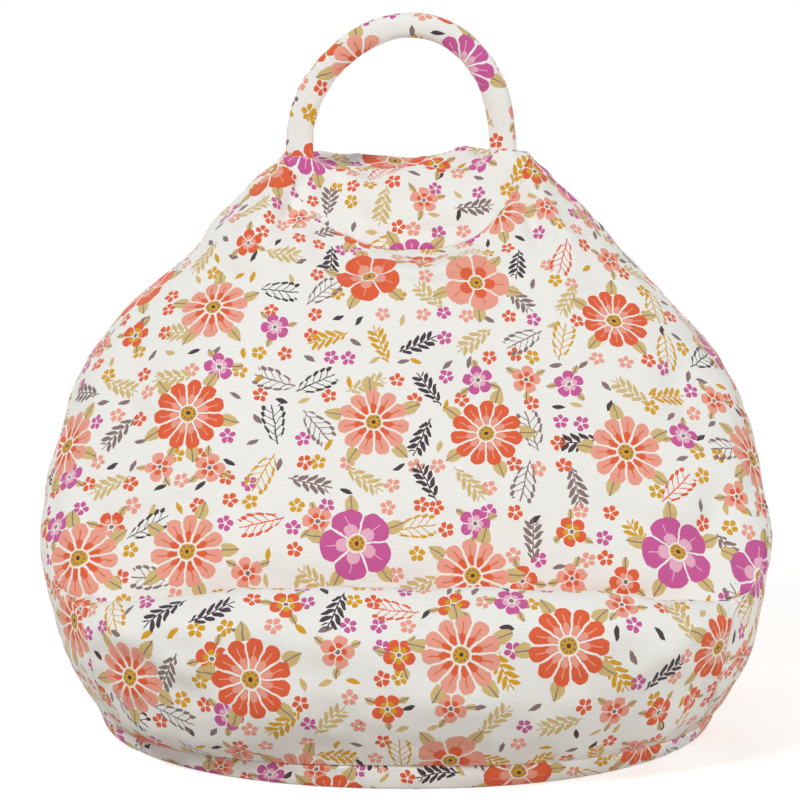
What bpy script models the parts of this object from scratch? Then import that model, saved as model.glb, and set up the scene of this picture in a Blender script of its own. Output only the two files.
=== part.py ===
"""Tablet cushion: a bead-filled fabric wedge with a padded front roll, a groove for a tablet and a handle.

Units are metres, +Z is up, +Y points to the back. The origin is the middle of the base, on the ground.
"""

import math
from typing import Callable, NamedTuple

import bmesh
import bpy
import numpy as np
from mathutils import Vector

# Cloth and clearances
CLOTH = 0.0008  # wall of the printed cotton cover
SEAM_GAP = 0.0005  # between the edges of two panels
FIT_GAP = 0.0004  # between stacked or nested pieces
LINER_CLOTH = 0.0006
BAFFLE_CLOTH = 0.0006
EASE = 0.0042  # slack between the cover and what fills it

# Base and front roll, on the centre line
FRONT_REACH = 0.112  # belly of the front roll
BACK_REACH = 0.1095  # the upright band of the back that holds the zip
BASE_SEAM_HEIGHT = 0.0085  # at the front and back
BASE_SEAM_DROP = 0.0035  # the seam is this much lower at the sides
BASE_HALF_WIDTH = 0.1170
BASE_FRONT = 0.104
BASE_BACK = 0.101
BASE_FLAT = 0.965  # share of the base that lies on the ground
ROLL_BELLY_HEIGHT = 0.038
ROLL_SHOULDER_HEIGHT = 0.058
ROLL_FOOT_SET_BACK = 0.002  # behind the belly
ROLL_SHOULDER_SET_BACK = 0.003
ZIP_HEIGHT = 0.031
ZIP_BAND = 0.009  # the back stands upright this far above and below the zip

# Ledge that carries the tablet's lower edge, and the face it leans on
LEDGE_Y = -0.0705
LEDGE_HEIGHT = 0.0565
LIP_RISE = 0.0152
LIP_RUN = 0.0225
FACE_LEAN = math.radians(32.0)  # from the vertical
FACE_LENGTH = 0.122  # up the slope, to where the face rounds over
FACE_CROWN = 0.005  # swell of the face between its seams
BROW_RISE = 0.012  # the fold above the tablet's upper edge
BROW_RUN = 0.006

# Top of the cushion and its sunken yoke
TOP_HEIGHT = 0.2085
TOP_Y = 0.036  # line of the handle's feet
TOP_HALF_WIDTH = 0.0475
HALF_WIDTH = 0.1350  # at the widest height
YOKE_FRONT_Y = 0.014
YOKE_FRONT_DROP = 0.0315  # below the top
YOKE_BACK_Y = 0.060
YOKE_BACK_DROP = 0.0017
YOKE_DIP = 0.006  # of its middle below the handle's feet
YOKE_SAG = 0.003

# Outline seen from the front: shares of the top's height, the half width and the depth of the top
SIDE_SHAPE = (
    (0.105, 0.919, 0.00),
    (0.182, 0.950, 0.05),
    (0.269, 0.978, 0.14),
    (0.360, 1.000, 0.25),
    (0.470, 0.978, 0.39),
    (0.595, 0.915, 0.56),
    (0.720, 0.793, 0.72),
    (0.825, 0.604, 0.86),
    (0.897, 0.500, 0.94),
    (0.969, 0.396, 1.00),
)
# Outline of the back on the centre line: shares of the top's height and of the back's reach
BACK_SHAPE = ((0.345, 0.991), (0.499, 0.950), (0.671, 0.868), (0.825, 0.758), (0.940, 0.639))

# Handle: an arch of padded strap on two rounded feet
HANDLE_HALF_SPAN = 0.0385
HANDLE_RISE = 0.0462
STRAP_WIDTH = 0.0105
STRAP_DEPTH = 0.0070
SLEEVE_CLOTH = 0.0008

# Zip across the foot of the back
ZIP_LENGTH = 0.112
ZIP_SLOT_WIDTH = 0.0090
TAPE_WIDTH = 0.0046
TAPE_CLOTH = 0.0005
TOOTH_PITCH = 0.0032
TOOTH_LENGTH = 0.0016
TOOTH_WIDTH = 0.0018
SPINE_WIDTH = 0.0006
TOOTH_HEIGHT = 0.0013
ROW_GAP = 0.0011  # between the two rows, where the slider's web runs
SLIDER_LENGTH = 0.009
SLIDER_WALL = 0.0006
STOP_LENGTH = 0.002
LUG_LENGTH = 0.0058  # the slider's lug, which the pull hangs from
LUG_WIDTH = 0.0014
LUG_WALL = 0.0006
PULL_LENGTH = 0.019
PULL_WIDTH = 0.0052
PULL_WALL = 0.0008
PULL_NOSE = 0.0016  # cut off each corner of its free end
SLOT_DEPTH = 0.003  # of the cut through the back, inwards and outwards

# Fineness of the cover's mesh: columns across each panel
FRONT_COLUMNS = 22
SIDE_COLUMNS = 6
BACK_COLUMNS = 14
BASE_RINGS = (0.94, 0.75, 0.4, 0.0)  # shares of the curl between the flat and the seam
BASE_INNER_RING = 0.5
YOKE_RINGS = (0.8, 0.55, 0.28)
SMOOTH_ANGLE = math.radians(40.0)  # a sharper edge shades as an edge

# Colours, linear
COTTON_WHITE = (0.90, 0.89, 0.85)
LINER_WHITE = (0.80, 0.80, 0.78)
BEAD_WHITE = (0.92, 0.92, 0.93)
WADDING_WHITE = (0.86, 0.86, 0.84)
ZIP_CREAM = (0.78, 0.76, 0.69)
ZIP_METAL = (0.62, 0.62, 0.60)


class Station(NamedTuple):
    """One lofting row of the cover: its front point, the heights of its side and back, and its plan form."""

    front_y: float
    front_z: float
    side_z: float
    back_z: float
    roundness: float  # power of the front half of the plan curve
    front_hold: float  # how far across the front the front height is held
    back_roundness: float  # power of the back half of the plan curve


def on_face(along: float, proud: float = 0.0) -> tuple[float, float]:
    """Point a distance up the leaning face from the ledge seam, and proud of its plane."""
    s, c = math.sin(FACE_LEAN), math.cos(FACE_LEAN)
    return LEDGE_Y + along * s - proud * c, LEDGE_HEIGHT + along * c + proud * s


def level(share: float) -> float:
    """Height at a share of the height of the top."""
    return share * TOP_HEIGHT


YOKE_FRONT_HEIGHT = TOP_HEIGHT - YOKE_FRONT_DROP
YOKE_BACK_HEIGHT = TOP_HEIGHT - YOKE_BACK_DROP
FACE_TOP_Y, FACE_TOP_Z = on_face(FACE_LENGTH)
ZIP_LOW, ZIP_HIGH = ZIP_HEIGHT - ZIP_BAND, ZIP_HEIGHT + ZIP_BAND
SIDE_SEAM_HEIGHT = BASE_SEAM_HEIGHT - BASE_SEAM_DROP
# Height, half width, depth of the widest point
SIDE_OUTLINE = (
    (SIDE_SEAM_HEIGHT, BASE_HALF_WIDTH, 0.0),
    *((level(up), out * HALF_WIDTH, back * TOP_Y) for up, out, back in SIDE_SHAPE),
    (TOP_HEIGHT, TOP_HALF_WIDTH, TOP_Y),
)
# Height, reach behind the origin
BACK_OUTLINE = (
    (BASE_SEAM_HEIGHT, BASE_BACK),
    (ZIP_LOW, BACK_REACH),
    (ZIP_HIGH, BACK_REACH),
    *((level(up), out * BACK_REACH) for up, out in BACK_SHAPE),
    (YOKE_BACK_HEIGHT, YOKE_BACK_Y),
)
ROLL_FOOT_Y = -FRONT_REACH + ROLL_FOOT_SET_BACK
ROLL_SHOULDER_Y = -FRONT_REACH + ROLL_SHOULDER_SET_BACK
LIP_Y, LIP_HEIGHT = LEDGE_Y - LIP_RUN, LEDGE_HEIGHT + LIP_RISE
LIP_INSIDE_Y, LIP_INSIDE_HEIGHT = LEDGE_Y - 0.4 * LIP_RUN, LEDGE_HEIGHT + 0.42 * LIP_RISE
STATIONS = (
    Station(-BASE_FRONT, BASE_SEAM_HEIGHT, SIDE_SEAM_HEIGHT, BASE_SEAM_HEIGHT, 2.15, 2.0, 5.6),
    Station(ROLL_FOOT_Y, ZIP_LOW, level(0.096), ZIP_LOW, 2.5, 2.0, 7.0),
    Station(-FRONT_REACH, ROLL_BELLY_HEIGHT, level(0.153), ZIP_HIGH, 2.9, 2.0, 6.4),
    Station(ROLL_SHOULDER_Y, ROLL_SHOULDER_HEIGHT, level(0.197), level(0.249), 3.2, 2.0, 5.8),
    Station(LIP_Y, LIP_HEIGHT, level(0.230), level(0.297), 3.9, 1.5, 5.2),
    Station(LIP_INSIDE_Y, LIP_INSIDE_HEIGHT, level(0.269), level(0.345), 4.8, 2.0, 4.7),
    Station(LEDGE_Y, LEDGE_HEIGHT, level(0.317), level(0.393), 5.0, 5.0, 4.2),
    Station(*on_face(0.13 * FACE_LENGTH, 0.5 * FACE_CROWN), level(0.388), level(0.456), 4.6, 4.0, 3.7),
    Station(*on_face(0.50 * FACE_LENGTH, FACE_CROWN), level(0.566), level(0.609), 3.5, 3.0, 3.1),
    Station(*on_face(FACE_LENGTH, 0.4 * FACE_CROWN), level(0.767), level(0.791), 2.9, 2.0, 2.6),
    Station(FACE_TOP_Y + BROW_RUN, FACE_TOP_Z + BROW_RISE, level(0.911), level(0.911), 2.5, 3.0, 2.4),
    Station(YOKE_FRONT_Y, YOKE_FRONT_HEIGHT, TOP_HEIGHT, YOKE_BACK_HEIGHT, 2.3, 3.0, 2.3),
)
ROWS = (0, 0.3, 0.65, 1, 1.5, 2, 2.5, 3, 3.5, 4, 4.5, 5, 5.5, 6, 6.5, 7, 7.5, 8, 8.5, 9, 9.5, 10, 10.5, 11)
LEDGE_ROW = 6  # station of the ledge seam
# Seams down each side: station, turn from the front in degrees, for the front seam and the back seam
FRONT_SEAM = ((0, 62), (2, 56), (5, 52), (6, 57), (7, 74), (8, 86), (9, 92), (11, 80))
BACK_SEAM = ((0, 128), (6, 130), (9, 122), (11, 100))


def smooth_through(points, at: float) -> float:
    """Value at a place on a smooth curve through (key, value) points, with no overshoot between them."""
    keys = np.array([p[0] for p in points], float)
    values = np.array([p[1] for p in points], float)
    at = float(np.clip(at, keys[0], keys[-1]))
    steps = np.diff(keys)
    slopes = np.diff(values) / steps
    tangents = np.zeros(len(keys))
    tangents[0], tangents[-1] = slopes[0], slopes[-1]
    for i in range(1, len(keys) - 1):
        if slopes[i - 1] * slopes[i] > 0:
            before, after = 2 * steps[i] + steps[i - 1], steps[i] + 2 * steps[i - 1]
            tangents[i] = (before + after) / (before / slopes[i - 1] + after / slopes[i])
    i = min(int(np.searchsorted(keys, at, side="right")) - 1, len(steps) - 1)
    t = (at - keys[i]) / steps[i]
    start, end = values[i], values[i + 1]
    rise = steps[i] * (t * (1 - t) ** 2 * tangents[i] - t * t * (1 - t) * tangents[i + 1])
    return float(start + (end - start) * t * t * (3 - 2 * t) + rise)


def station_value(name: str, row: float) -> float:
    """A station's size at a row between the stations."""
    return smooth_through([(i, getattr(s, name)) for i, s in enumerate(STATIONS)], row)


def half_width(height: float) -> float:
    """Half the cushion's width at a height."""
    return smooth_through([(h, w) for h, w, _ in SIDE_OUTLINE], height)


def widest_y(height: float) -> float:
    """Depth of the widest point at a height."""
    return smooth_through([(h, y) for h, _, y in SIDE_OUTLINE], height)


def back_y(height: float) -> float:
    """Reach of the back at a height."""
    return smooth_through(BACK_OUTLINE, height)


def seam_turn(seam, row: float) -> float:
    """Turn of a side seam at a row, in radians from the front."""
    return math.radians(smooth_through(seam, row))


def cover_point(turn: float, row: float) -> Vector:
    """Point of the cover's outer face: turn goes round from the front, row goes up the stations."""
    side_z, back_z = station_value("side_z", row), station_value("back_z", row)
    width, middle = half_width(side_z), widest_y(side_z)
    across, ahead = math.sin(turn), math.cos(turn)
    if ahead > 0:
        power = station_value("roundness", row)
        reach, end_z = station_value("front_y", row), station_value("front_z", row)
        hold = station_value("front_hold", row)
    else:
        power, hold = station_value("back_roundness", row), 2.0
        reach, end_z = back_y(back_z), back_z
    return Vector((
        math.copysign(abs(across) ** (2 / power), across) * width,
        middle + (reach - middle) * abs(ahead) ** (2 / power),
        side_z + (end_z - side_z) * (1 - abs(across) ** hold),
    ))


PANELS = (
    "base_panel",
    "front_roll_panel",
    "backrest_panel",
    "yoke_panel",
    "back_panel",
    "side_panel_left",
    "side_panel_right",
)


def column_turns(row: float) -> list[float]:
    """Turns of the mesh columns at a row, once round, from the left end of the front panel."""
    front, back = seam_turn(FRONT_SEAM, row), seam_turn(BACK_SEAM, row)
    spans = (
        (-front, front, FRONT_COLUMNS),
        (front, back, SIDE_COLUMNS),
        (back, 2 * math.pi - back, BACK_COLUMNS),
        (2 * math.pi - back, 2 * math.pi - front, SIDE_COLUMNS),
    )
    return [low + (high - low) * i / count for low, high, count in spans for i in range(count)]


def panel_of_column(column: int, row: float) -> str:
    """Name of the panel that holds a wall face."""
    if column < FRONT_COLUMNS:
        return "front_roll_panel" if row < LEDGE_ROW else "backrest_panel"
    column -= FRONT_COLUMNS
    if column < SIDE_COLUMNS:
        return "side_panel_right"
    if column < SIDE_COLUMNS + BACK_COLUMNS:
        return "back_panel"
    return "side_panel_left"


def base_point(rim: Vector, share: float) -> Vector:
    """Point of the base between its middle and the rim; it curls down from the seam to a flat sole."""
    climb = max(0.0, (share - BASE_FLAT) / (1 - BASE_FLAT))
    return Vector((rim.x * share, rim.y * share, rim.z * (1 - math.sqrt(1 - climb**2))))


def yoke_point(rim: Vector, middle: Vector, share: float) -> Vector:
    """Point of the yoke between its middle and the rim; it sags between its edges."""
    point = middle.lerp(rim, share)
    point.z -= YOKE_SAG * (1 - share**2)
    return point


def add_quad(bm, corners, material_index: int) -> None:
    """Adds a quad as two triangles, split along its shorter diagonal."""
    a, b, c, d = corners
    if (a.co - c.co).length < (b.co - d.co).length:
        halves = ((a, b, c), (a, c, d))
    else:
        halves = ((a, b, d), (b, c, d))
    for half in halves:
        bm.faces.new(half).material_index = material_index


def add_cap(bm, rim, shares, point_at: Callable, panel: str, flip: bool) -> None:
    """Closes a ring of the cover with smaller rings and a fan in the middle."""
    rings = [rim]
    for share in shares:
        rings.append([bm.verts.new(point_at(v.co, share)) for v in rim])
    middle = bm.verts.new(point_at(rim[0].co, 0.0))
    count = len(rim)
    for outer, inner in zip(rings, rings[1:]):
        for j in range(count):
            k = (j + 1) % count
            corners = (outer[j], outer[k], inner[k], inner[j])
            add_quad(bm, corners[::-1] if flip else corners, PANELS.index(panel))
    for j in range(count):
        corners = (rings[-1][j], rings[-1][(j + 1) % count], middle)
        face = bm.faces.new(corners[::-1] if flip else corners)
        face.material_index = PANELS.index(panel)


def cover_surface() -> bmesh.types.BMesh:
    """The cover's whole outer face as one closed mesh; each face's material index is its panel."""
    bm = bmesh.new()
    rows = [[bm.verts.new(cover_point(turn, row)) for turn in column_turns(row)] for row in ROWS]
    count = len(rows[0])
    for i, row in enumerate(ROWS[:-1]):
        for j in range(count):
            k = (j + 1) % count
            low, high = rows[i], rows[i + 1]
            add_quad(bm, (low[j], low[k], high[k], high[j]), PANELS.index(panel_of_column(j, row)))
    shares = [BASE_FLAT + (1 - BASE_FLAT) * climb for climb in BASE_RINGS] + [BASE_INNER_RING]
    add_cap(bm, rows[0], shares, base_point, "base_panel", True)
    middle = Vector((0, (YOKE_FRONT_Y + YOKE_BACK_Y) / 2, TOP_HEIGHT - YOKE_DIP))
    add_cap(bm, rows[-1], YOKE_RINGS, lambda rim, share: yoke_point(rim, middle, share), "yoke_panel", False)
    bm.normal_update()
    return bm


def new_object(name: str, bm: bmesh.types.BMesh, material, origin=(0.0, 0.0, 0.0)):
    """Makes an object of a bmesh, with its material and its origin, shaded smooth up to an angle."""
    bmesh.ops.translate(bm, vec=-Vector(origin), verts=bm.verts)
    mesh = bpy.data.meshes.new(name)
    bm.to_mesh(mesh)
    bm.free()
    mesh.materials.clear()
    mesh.materials.append(material)
    mesh.polygons.foreach_set("material_index", [0] * len(mesh.polygons))
    mesh.shade_smooth()
    mesh.set_sharp_from_angle(angle=SMOOTH_ANGLE)
    obj = bpy.data.objects.new(name, mesh)
    obj.location = origin
    bpy.context.scene.collection.objects.link(obj)
    return obj


def make_material(name: str, colour, roughness: float, metallic: float = 0.0):
    """A Principled material of one colour."""
    material = bpy.data.materials.new(name)
    material.use_nodes = True
    shader = material.node_tree.nodes["Principled BSDF"]
    shader.inputs["Base Color"].default_value = (*colour, 1.0)
    shader.inputs["Roughness"].default_value = roughness
    shader.inputs["Metallic"].default_value = metallic
    material.diffuse_color = (*colour, 1.0)
    return material


def cut_panel(surface: bmesh.types.BMesh, panel: int) -> bmesh.types.BMesh:
    """One panel of the cover as a thin shell: its outer face, an inner face one cloth deeper, and a rim."""
    faces = [f for f in surface.faces if f.material_index == panel]
    verts = list(dict.fromkeys(v for f in faces for v in f.verts))
    own = set(faces)
    edges = {e for f in faces for e in f.edges}
    rim = [e for e in edges if sum(f in own for f in e.link_faces) == 1]
    beside = {}
    for e in rim:
        for v in e.verts:
            beside.setdefault(v, []).append(e.other_vert(v))
    bm = bmesh.new()
    outer, inner = {}, {}
    for v in verts:
        draw = Vector()
        if v in beside:
            along = (beside[v][1].co - beside[v][0].co).normalized()
            inward = sum((f.calc_center_median() - v.co for f in v.link_faces if f in own), Vector())
            draw = (inward - along * inward.dot(along)).normalized() * SEAM_GAP / 2
        outer[v] = bm.verts.new(v.co + draw)
        inner[v] = bm.verts.new(v.co + draw - v.normal * CLOTH)
    for f in faces:
        bm.faces.new([outer[v] for v in f.verts])
        bm.faces.new([inner[v] for v in reversed(f.verts)])
    for e in rim:
        face = next(f for f in e.link_faces if f in own)
        a, b = e.verts
        loop = next(l for l in face.loops if l.edge == e)
        if loop.vert != a:
            a, b = b, a
        bm.faces.new((outer[b], outer[a], inner[a], inner[b]))
    bm.normal_update()
    return bm


def box_mesh(low, high) -> bmesh.types.BMesh:
    """A box between two corners."""
    bm = bmesh.new()
    bmesh.ops.create_cube(bm, size=1.0)
    size = Vector(high) - Vector(low)
    bmesh.ops.scale(bm, vec=size, verts=bm.verts)
    bmesh.ops.translate(bm, vec=(Vector(high) + Vector(low)) / 2, verts=bm.verts)
    return bm


def extruded(outline, low: float, high: float, to_point: Callable) -> bmesh.types.BMesh:
    """A flat outline carried from one height to another; to_point turns (u, v, height) into a place."""
    bm = bmesh.new()
    face = bm.faces.new([bm.verts.new(to_point(u, v, low)) for u, v in outline])
    made = bmesh.ops.extrude_face_region(bm, geom=[face])["geom"]
    step = Vector(to_point(0, 0, high)) - Vector(to_point(0, 0, low))
    bmesh.ops.translate(bm, vec=step, verts=[g for g in made if isinstance(g, bmesh.types.BMVert)])
    bmesh.ops.recalc_face_normals(bm, faces=bm.faces)
    return bm


def combine(obj, guide, operation: str = "DIFFERENCE") -> None:
    """Cuts a guide's shape out of an object, or joins it on; the guide itself isn't a piece."""
    guide.hide_render = True
    guide.display_type = "WIRE"
    step = obj.modifiers.new(operation.lower(), "BOOLEAN")
    step.operation = operation
    step.solver = "EXACT"
    step.object = guide


def loft(rings) -> bmesh.types.BMesh:
    """Skins rings of points, bottom first, and closes the ends with fans on their middles."""
    bm = bmesh.new()
    loops = [[bm.verts.new(p) for p in ring] for ring in rings]
    count = len(loops[0])
    for low, high in zip(loops, loops[1:]):
        for j in range(count):
            k = (j + 1) % count
            bm.faces.new((low[j], low[k], high[k]))
            bm.faces.new((low[j], high[k], high[j]))
    for loop, flip in ((loops[0], True), (loops[-1], False)):
        middle = bm.verts.new(sum((v.co for v in loop), Vector()) / count)
        for j in range(count):
            corners = (loop[j], loop[(j + 1) % count], middle)
            bm.faces.new(corners[::-1] if flip else corners)
    bmesh.ops.recalc_face_normals(bm, faces=bm.faces)
    return bm


# The bead chamber behind the ledge baffle
CHAMBER_DROP = 0.0425  # of its top below the cushion's top
CHAMBER_BOTTOM = 2 * CLOTH
CHAMBER_TOP = TOP_HEIGHT - CHAMBER_DROP
CHAMBER_WAIST = 0.1  # its widest line lies at least this share of its depth behind its front
CHAMBER_COLUMNS = 28
CHAMBER_ROUNDNESS = 2.4
FOOT_ROUNDING = 0.012
CROWN_ROUNDING = 0.020
CHAMBER_ROWS = (0.0, 0.035, 0.11, 0.24, 0.36, 0.5, 0.64, 0.78, 0.9, 0.97, 1.0)
SLIT_HEIGHT = 0.100
SLIT_LENGTH = 0.060
SLIT_GAP = 0.0012
BAFFLE_Y = LEDGE_Y - FIT_GAP - BAFFLE_CLOTH


def chamber_ring(share: float, inset: float) -> list[Vector]:
    """Level outline of the bead chamber, drawn in by an inset; share goes from its bottom to its top."""
    low, high = CHAMBER_BOTTOM + inset, CHAMBER_TOP - inset
    height = low + (high - low) * share
    foot = max(0.0, 1 - share / CHAMBER_ROWS[2])
    crown = max(0.0, 1 - (1 - share) / (1 - CHAMBER_ROWS[-4]))
    rounding = FOOT_ROUNDING * foot**2 + CROWN_ROUNDING * crown**2
    inward = EASE + inset + rounding
    width, middle = half_width(height) - inward, widest_y(height)
    behind = back_y(height) - inward
    face_y = LEDGE_Y + (height - LEDGE_HEIGHT) * math.tan(FACE_LEAN) + inward / math.cos(FACE_LEAN)
    before = inward - BASE_FRONT if height < LEDGE_HEIGHT else face_y
    middle = max(middle, before + CHAMBER_WAIST * (behind - before))
    wall_y = BAFFLE_Y + BAFFLE_CLOTH + FIT_GAP + inset
    ring = []
    for j in range(CHAMBER_COLUMNS):
        turn = 2 * math.pi * j / CHAMBER_COLUMNS
        across, ahead = math.sin(turn), math.cos(turn)
        y = middle + ((before if ahead > 0 else behind) - middle) * abs(ahead) ** (2 / CHAMBER_ROUNDNESS)
        x = math.copysign(abs(across) ** (2 / CHAMBER_ROUNDNESS), across) * width
        ring.append(Vector((x, max(y, wall_y), height)))
    return ring


def make_bead_chamber(liner_cloth, beads) -> None:
    """The inner bag, open at a filling slit in its back, and the lump of beads inside it."""
    liner = new_object("bead_liner", loft([chamber_ring(s, 0.0) for s in CHAMBER_ROWS]), liner_cloth)
    hollow = loft([chamber_ring(s, LINER_CLOTH) for s in CHAMBER_ROWS])
    combine(liner, new_object("liner_hollow", hollow, liner_cloth))
    reach, half, lip = back_y(SLIT_HEIGHT), SLIT_LENGTH / 2, SLIT_GAP / 2
    slit = box_mesh((-half, reach - half, SLIT_HEIGHT - lip), (half, reach, SLIT_HEIGHT + lip))
    combine(liner, new_object("liner_slit", slit, liner_cloth))
    inset = LINER_CLOTH + FIT_GAP
    new_object("bead_fill", loft([chamber_ring(s, inset) for s in CHAMBER_ROWS]), beads)


# The padded roll in front of the baffle
WADDING_END = 0.0057  # thickness of the wadding at its ends, halfway up
WADDING_LEAST = 0.005  # thickness it keeps down to its lower edge
WADDING_STATIONS = 15
WADDING_SIDES = 14
WADDING_BOTTOM = 0.0045
WADDING_SQUARENESS = 0.8  # power of its section, 1 for an oval
BAFFLE_LEVELS = 9
BAFFLE_CROWDING = 1.6  # its levels lie closer towards its foot
ROLL_OUTLINE = tuple((s.front_z, -s.front_y) for s in STATIONS[:4])
ROLL_ROUNDNESS = STATIONS[0].roundness


def rounded(share: float) -> float:
    """Share of one half axis of the roll's plan curve left at a share of the other."""
    return max(0.0, 1 - abs(share) ** ROLL_ROUNDNESS) ** (1 / ROLL_ROUNDNESS)


def roll_front(x: float, height: float) -> float:
    """Depth of the roll's front at a distance from the middle and a height."""
    return -smooth_through(ROLL_OUTLINE, height) * rounded(x / half_width(height))


def wadding_reach() -> float:
    """Half the wadding's length, where the roll gets too thin for it."""
    height = (WADDING_BOTTOM + LEDGE_HEIGHT) / 2
    depth = WADDING_END + EASE + FIT_GAP - BAFFLE_Y
    return half_width(height) * rounded(depth / smooth_through(ROLL_OUTLINE, height))


def wadding_ring(x: float) -> list[Vector]:
    """Section of the roll's wadding at a distance from the middle, inside the roll at each height."""
    rear = BAFFLE_Y - FIT_GAP
    top = LEDGE_HEIGHT - CLOTH - EASE
    bottom = WADDING_BOTTOM
    while roll_front(x, bottom) + EASE > rear - WADDING_LEAST and bottom < top - WADDING_LEAST:
        bottom += CLOTH
    ring = []
    for k in range(WADDING_SIDES):
        turn = 2 * math.pi * k / WADDING_SIDES
        c, s = math.cos(turn), math.sin(turn)
        height = (top + bottom) / 2 + math.copysign(abs(s) ** WADDING_SQUARENESS, s) * (top - bottom) / 2
        front = roll_front(x, height) + EASE
        y = (rear + front) / 2 + math.copysign(abs(c) ** WADDING_SQUARENESS, c) * (rear - front) / 2
        ring.append(Vector((x, y, height)))
    return ring


def baffle_reach(height: float, bottom: float) -> float:
    """Half width of the baffle at a height, drawn in from the cover."""
    fall = 1 - min(1.0, (height - bottom) / (BASE_SEAM_HEIGHT - bottom))
    share = BASE_FLAT + (1 - BASE_FLAT) * math.sqrt(1 - fall**2)
    width = half_width(height) * share
    return width * rounded(BAFFLE_Y / (smooth_through(ROLL_OUTLINE, height) * share)) - EASE


def make_roll_filling(cloth, wadding) -> None:
    """The upright baffle under the ledge seam, and the fibre wadding in front of it."""
    half = WADDING_STATIONS // 2
    reach = wadding_reach()
    places = [reach * i / half for i in range(-half, half + 1)]
    new_object("roll_wadding", loft([wadding_ring(x) for x in places]), wadding)
    low, high = CLOTH + FIT_GAP, LEDGE_HEIGHT - CLOTH - 2 * FIT_GAP
    steps = [(i / (BAFFLE_LEVELS - 1)) ** BAFFLE_CROWDING for i in range(BAFFLE_LEVELS)]
    heights = [low + (high - low) * step for step in steps]
    outline = [(baffle_reach(height, low), height) for height in heights]
    outline = outline + [(-x, z) for x, z in reversed(outline)]
    sheet = extruded(outline, BAFFLE_Y, BAFFLE_Y + BAFFLE_CLOTH, lambda u, v, h: (u, h, v))
    new_object("ledge_baffle", sheet, cloth)


ARCH_STEPS = 22
STRAP_SIDES = 12
CORE_SIDES = 8
STRAP_SQUARENESS = 0.8  # power of its section, 1 for an oval
FOOT_STEPS = (0.85, 0.62, 0.34)  # depth below the axis, in half strap depths
FOOT_SHARE = (HANDLE_HALF_SPAN + STRAP_WIDTH / 2) / TOP_HALF_WIDTH  # the feet's outer edge on the yoke
FOOT_SEAT_Z = TOP_HEIGHT - YOKE_DIP * (1 - FOOT_SHARE) - YOKE_SAG * (1 - FOOT_SHARE**2)
HANDLE_AXIS_Z = FOOT_SEAT_Z + FIT_GAP + FOOT_STEPS[0] * STRAP_DEPTH / 2


def arch_place(share: float) -> tuple[Vector, Vector]:
    """Middle of the strap and its outward direction, from the left foot to the right one."""
    turn = math.pi * (1 - share)
    c, s = math.cos(turn), math.sin(turn)
    place = Vector((HANDLE_HALF_SPAN * c, TOP_Y, HANDLE_AXIS_Z + HANDLE_RISE * s))
    outward = Vector((HANDLE_RISE * c, 0, HANDLE_HALF_SPAN * s)).normalized()
    return place, outward


def strap_ring(middle: Vector, outward: Vector, half_wide: float, half_deep: float, sides: int) -> list:
    """Oval section of the strap."""
    ring = []
    for k in range(sides):
        turn = 2 * math.pi * k / sides
        c, s = math.cos(turn), math.sin(turn)
        wide = math.copysign(abs(c) ** STRAP_SQUARENESS, c) * half_wide
        ring.append(middle + outward * wide + Vector((0, 1, 0)) * s * half_deep)
    return ring


def strap_rings(wall: float, feet: bool, sides: int) -> list[list[Vector]]:
    """Sections along the arch, drawn in by a wall; with feet, the ends are rounded about the hinge line."""
    wide, deep = STRAP_WIDTH / 2 - wall, STRAP_DEPTH / 2 - wall
    rings = []
    for i in range(ARCH_STEPS + 1):
        middle, outward = arch_place(i / ARCH_STEPS)
        rings.append(strap_ring(middle, outward, wide, deep, sides))
    if not feet:
        return rings
    left, right = [], []
    for step in FOOT_STEPS:
        drop = step * STRAP_DEPTH / 2
        shallow = (STRAP_DEPTH / 2 - wall) * math.sqrt(1 - step**2)
        for side, found in ((-1, left), (1, right)):
            middle = Vector((side * HANDLE_HALF_SPAN, TOP_Y, HANDLE_AXIS_Z - drop))
            found.append(strap_ring(middle, Vector((side, 0, 0)), wide, shallow, sides))
    return left + rings + right[::-1]


def make_handle(cloth, webbing) -> None:
    """The strap's fabric sleeve, open at both feet, and the webbing inside it."""
    outer = strap_rings(0.0, True, STRAP_SIDES)
    inner = strap_rings(SLEEVE_CLOTH, True, STRAP_SIDES)
    bm = bmesh.new()
    skins = [[[bm.verts.new(p) for p in ring] for ring in rings] for rings in (outer, inner)]
    count = STRAP_SIDES
    for rings, flip in zip(skins, (False, True)):
        for low, high in zip(rings, rings[1:]):
            for j in range(count):
                corners = (low[j], low[(j + 1) % count], high[(j + 1) % count], high[j])
                bm.faces.new(corners[::-1] if flip else corners)
    for end in (0, -1):
        out, within = skins[0][end], skins[1][end]
        for j in range(count):
            k = (j + 1) % count
            bm.faces.new((out[j], out[k], within[k], within[j]))
    bmesh.ops.recalc_face_normals(bm, faces=bm.faces)
    hinge = (0, TOP_Y, HANDLE_AXIS_Z)
    new_object("handle_sleeve", bm, cloth, hinge)
    core = strap_rings(SLEEVE_CLOTH + FIT_GAP, False, CORE_SIDES)
    new_object("handle_core", loft(core), webbing, hinge)


# Depths of the zip's layers, measured outwards from the outer face of the back
TAPE_OUTER = -CLOTH - FIT_GAP
TAPE_INNER = TAPE_OUTER - TAPE_CLOTH
TEETH_OUTER = (TAPE_OUTER + TAPE_INNER) / 2 + TOOTH_HEIGHT / 2
TEETH_INNER = TEETH_OUTER - TOOTH_HEIGHT
SLIDER_OUTER = TEETH_OUTER + FIT_GAP + SLIDER_WALL
SLIDER_INNER = TEETH_INNER - FIT_GAP - SLIDER_WALL
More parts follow.
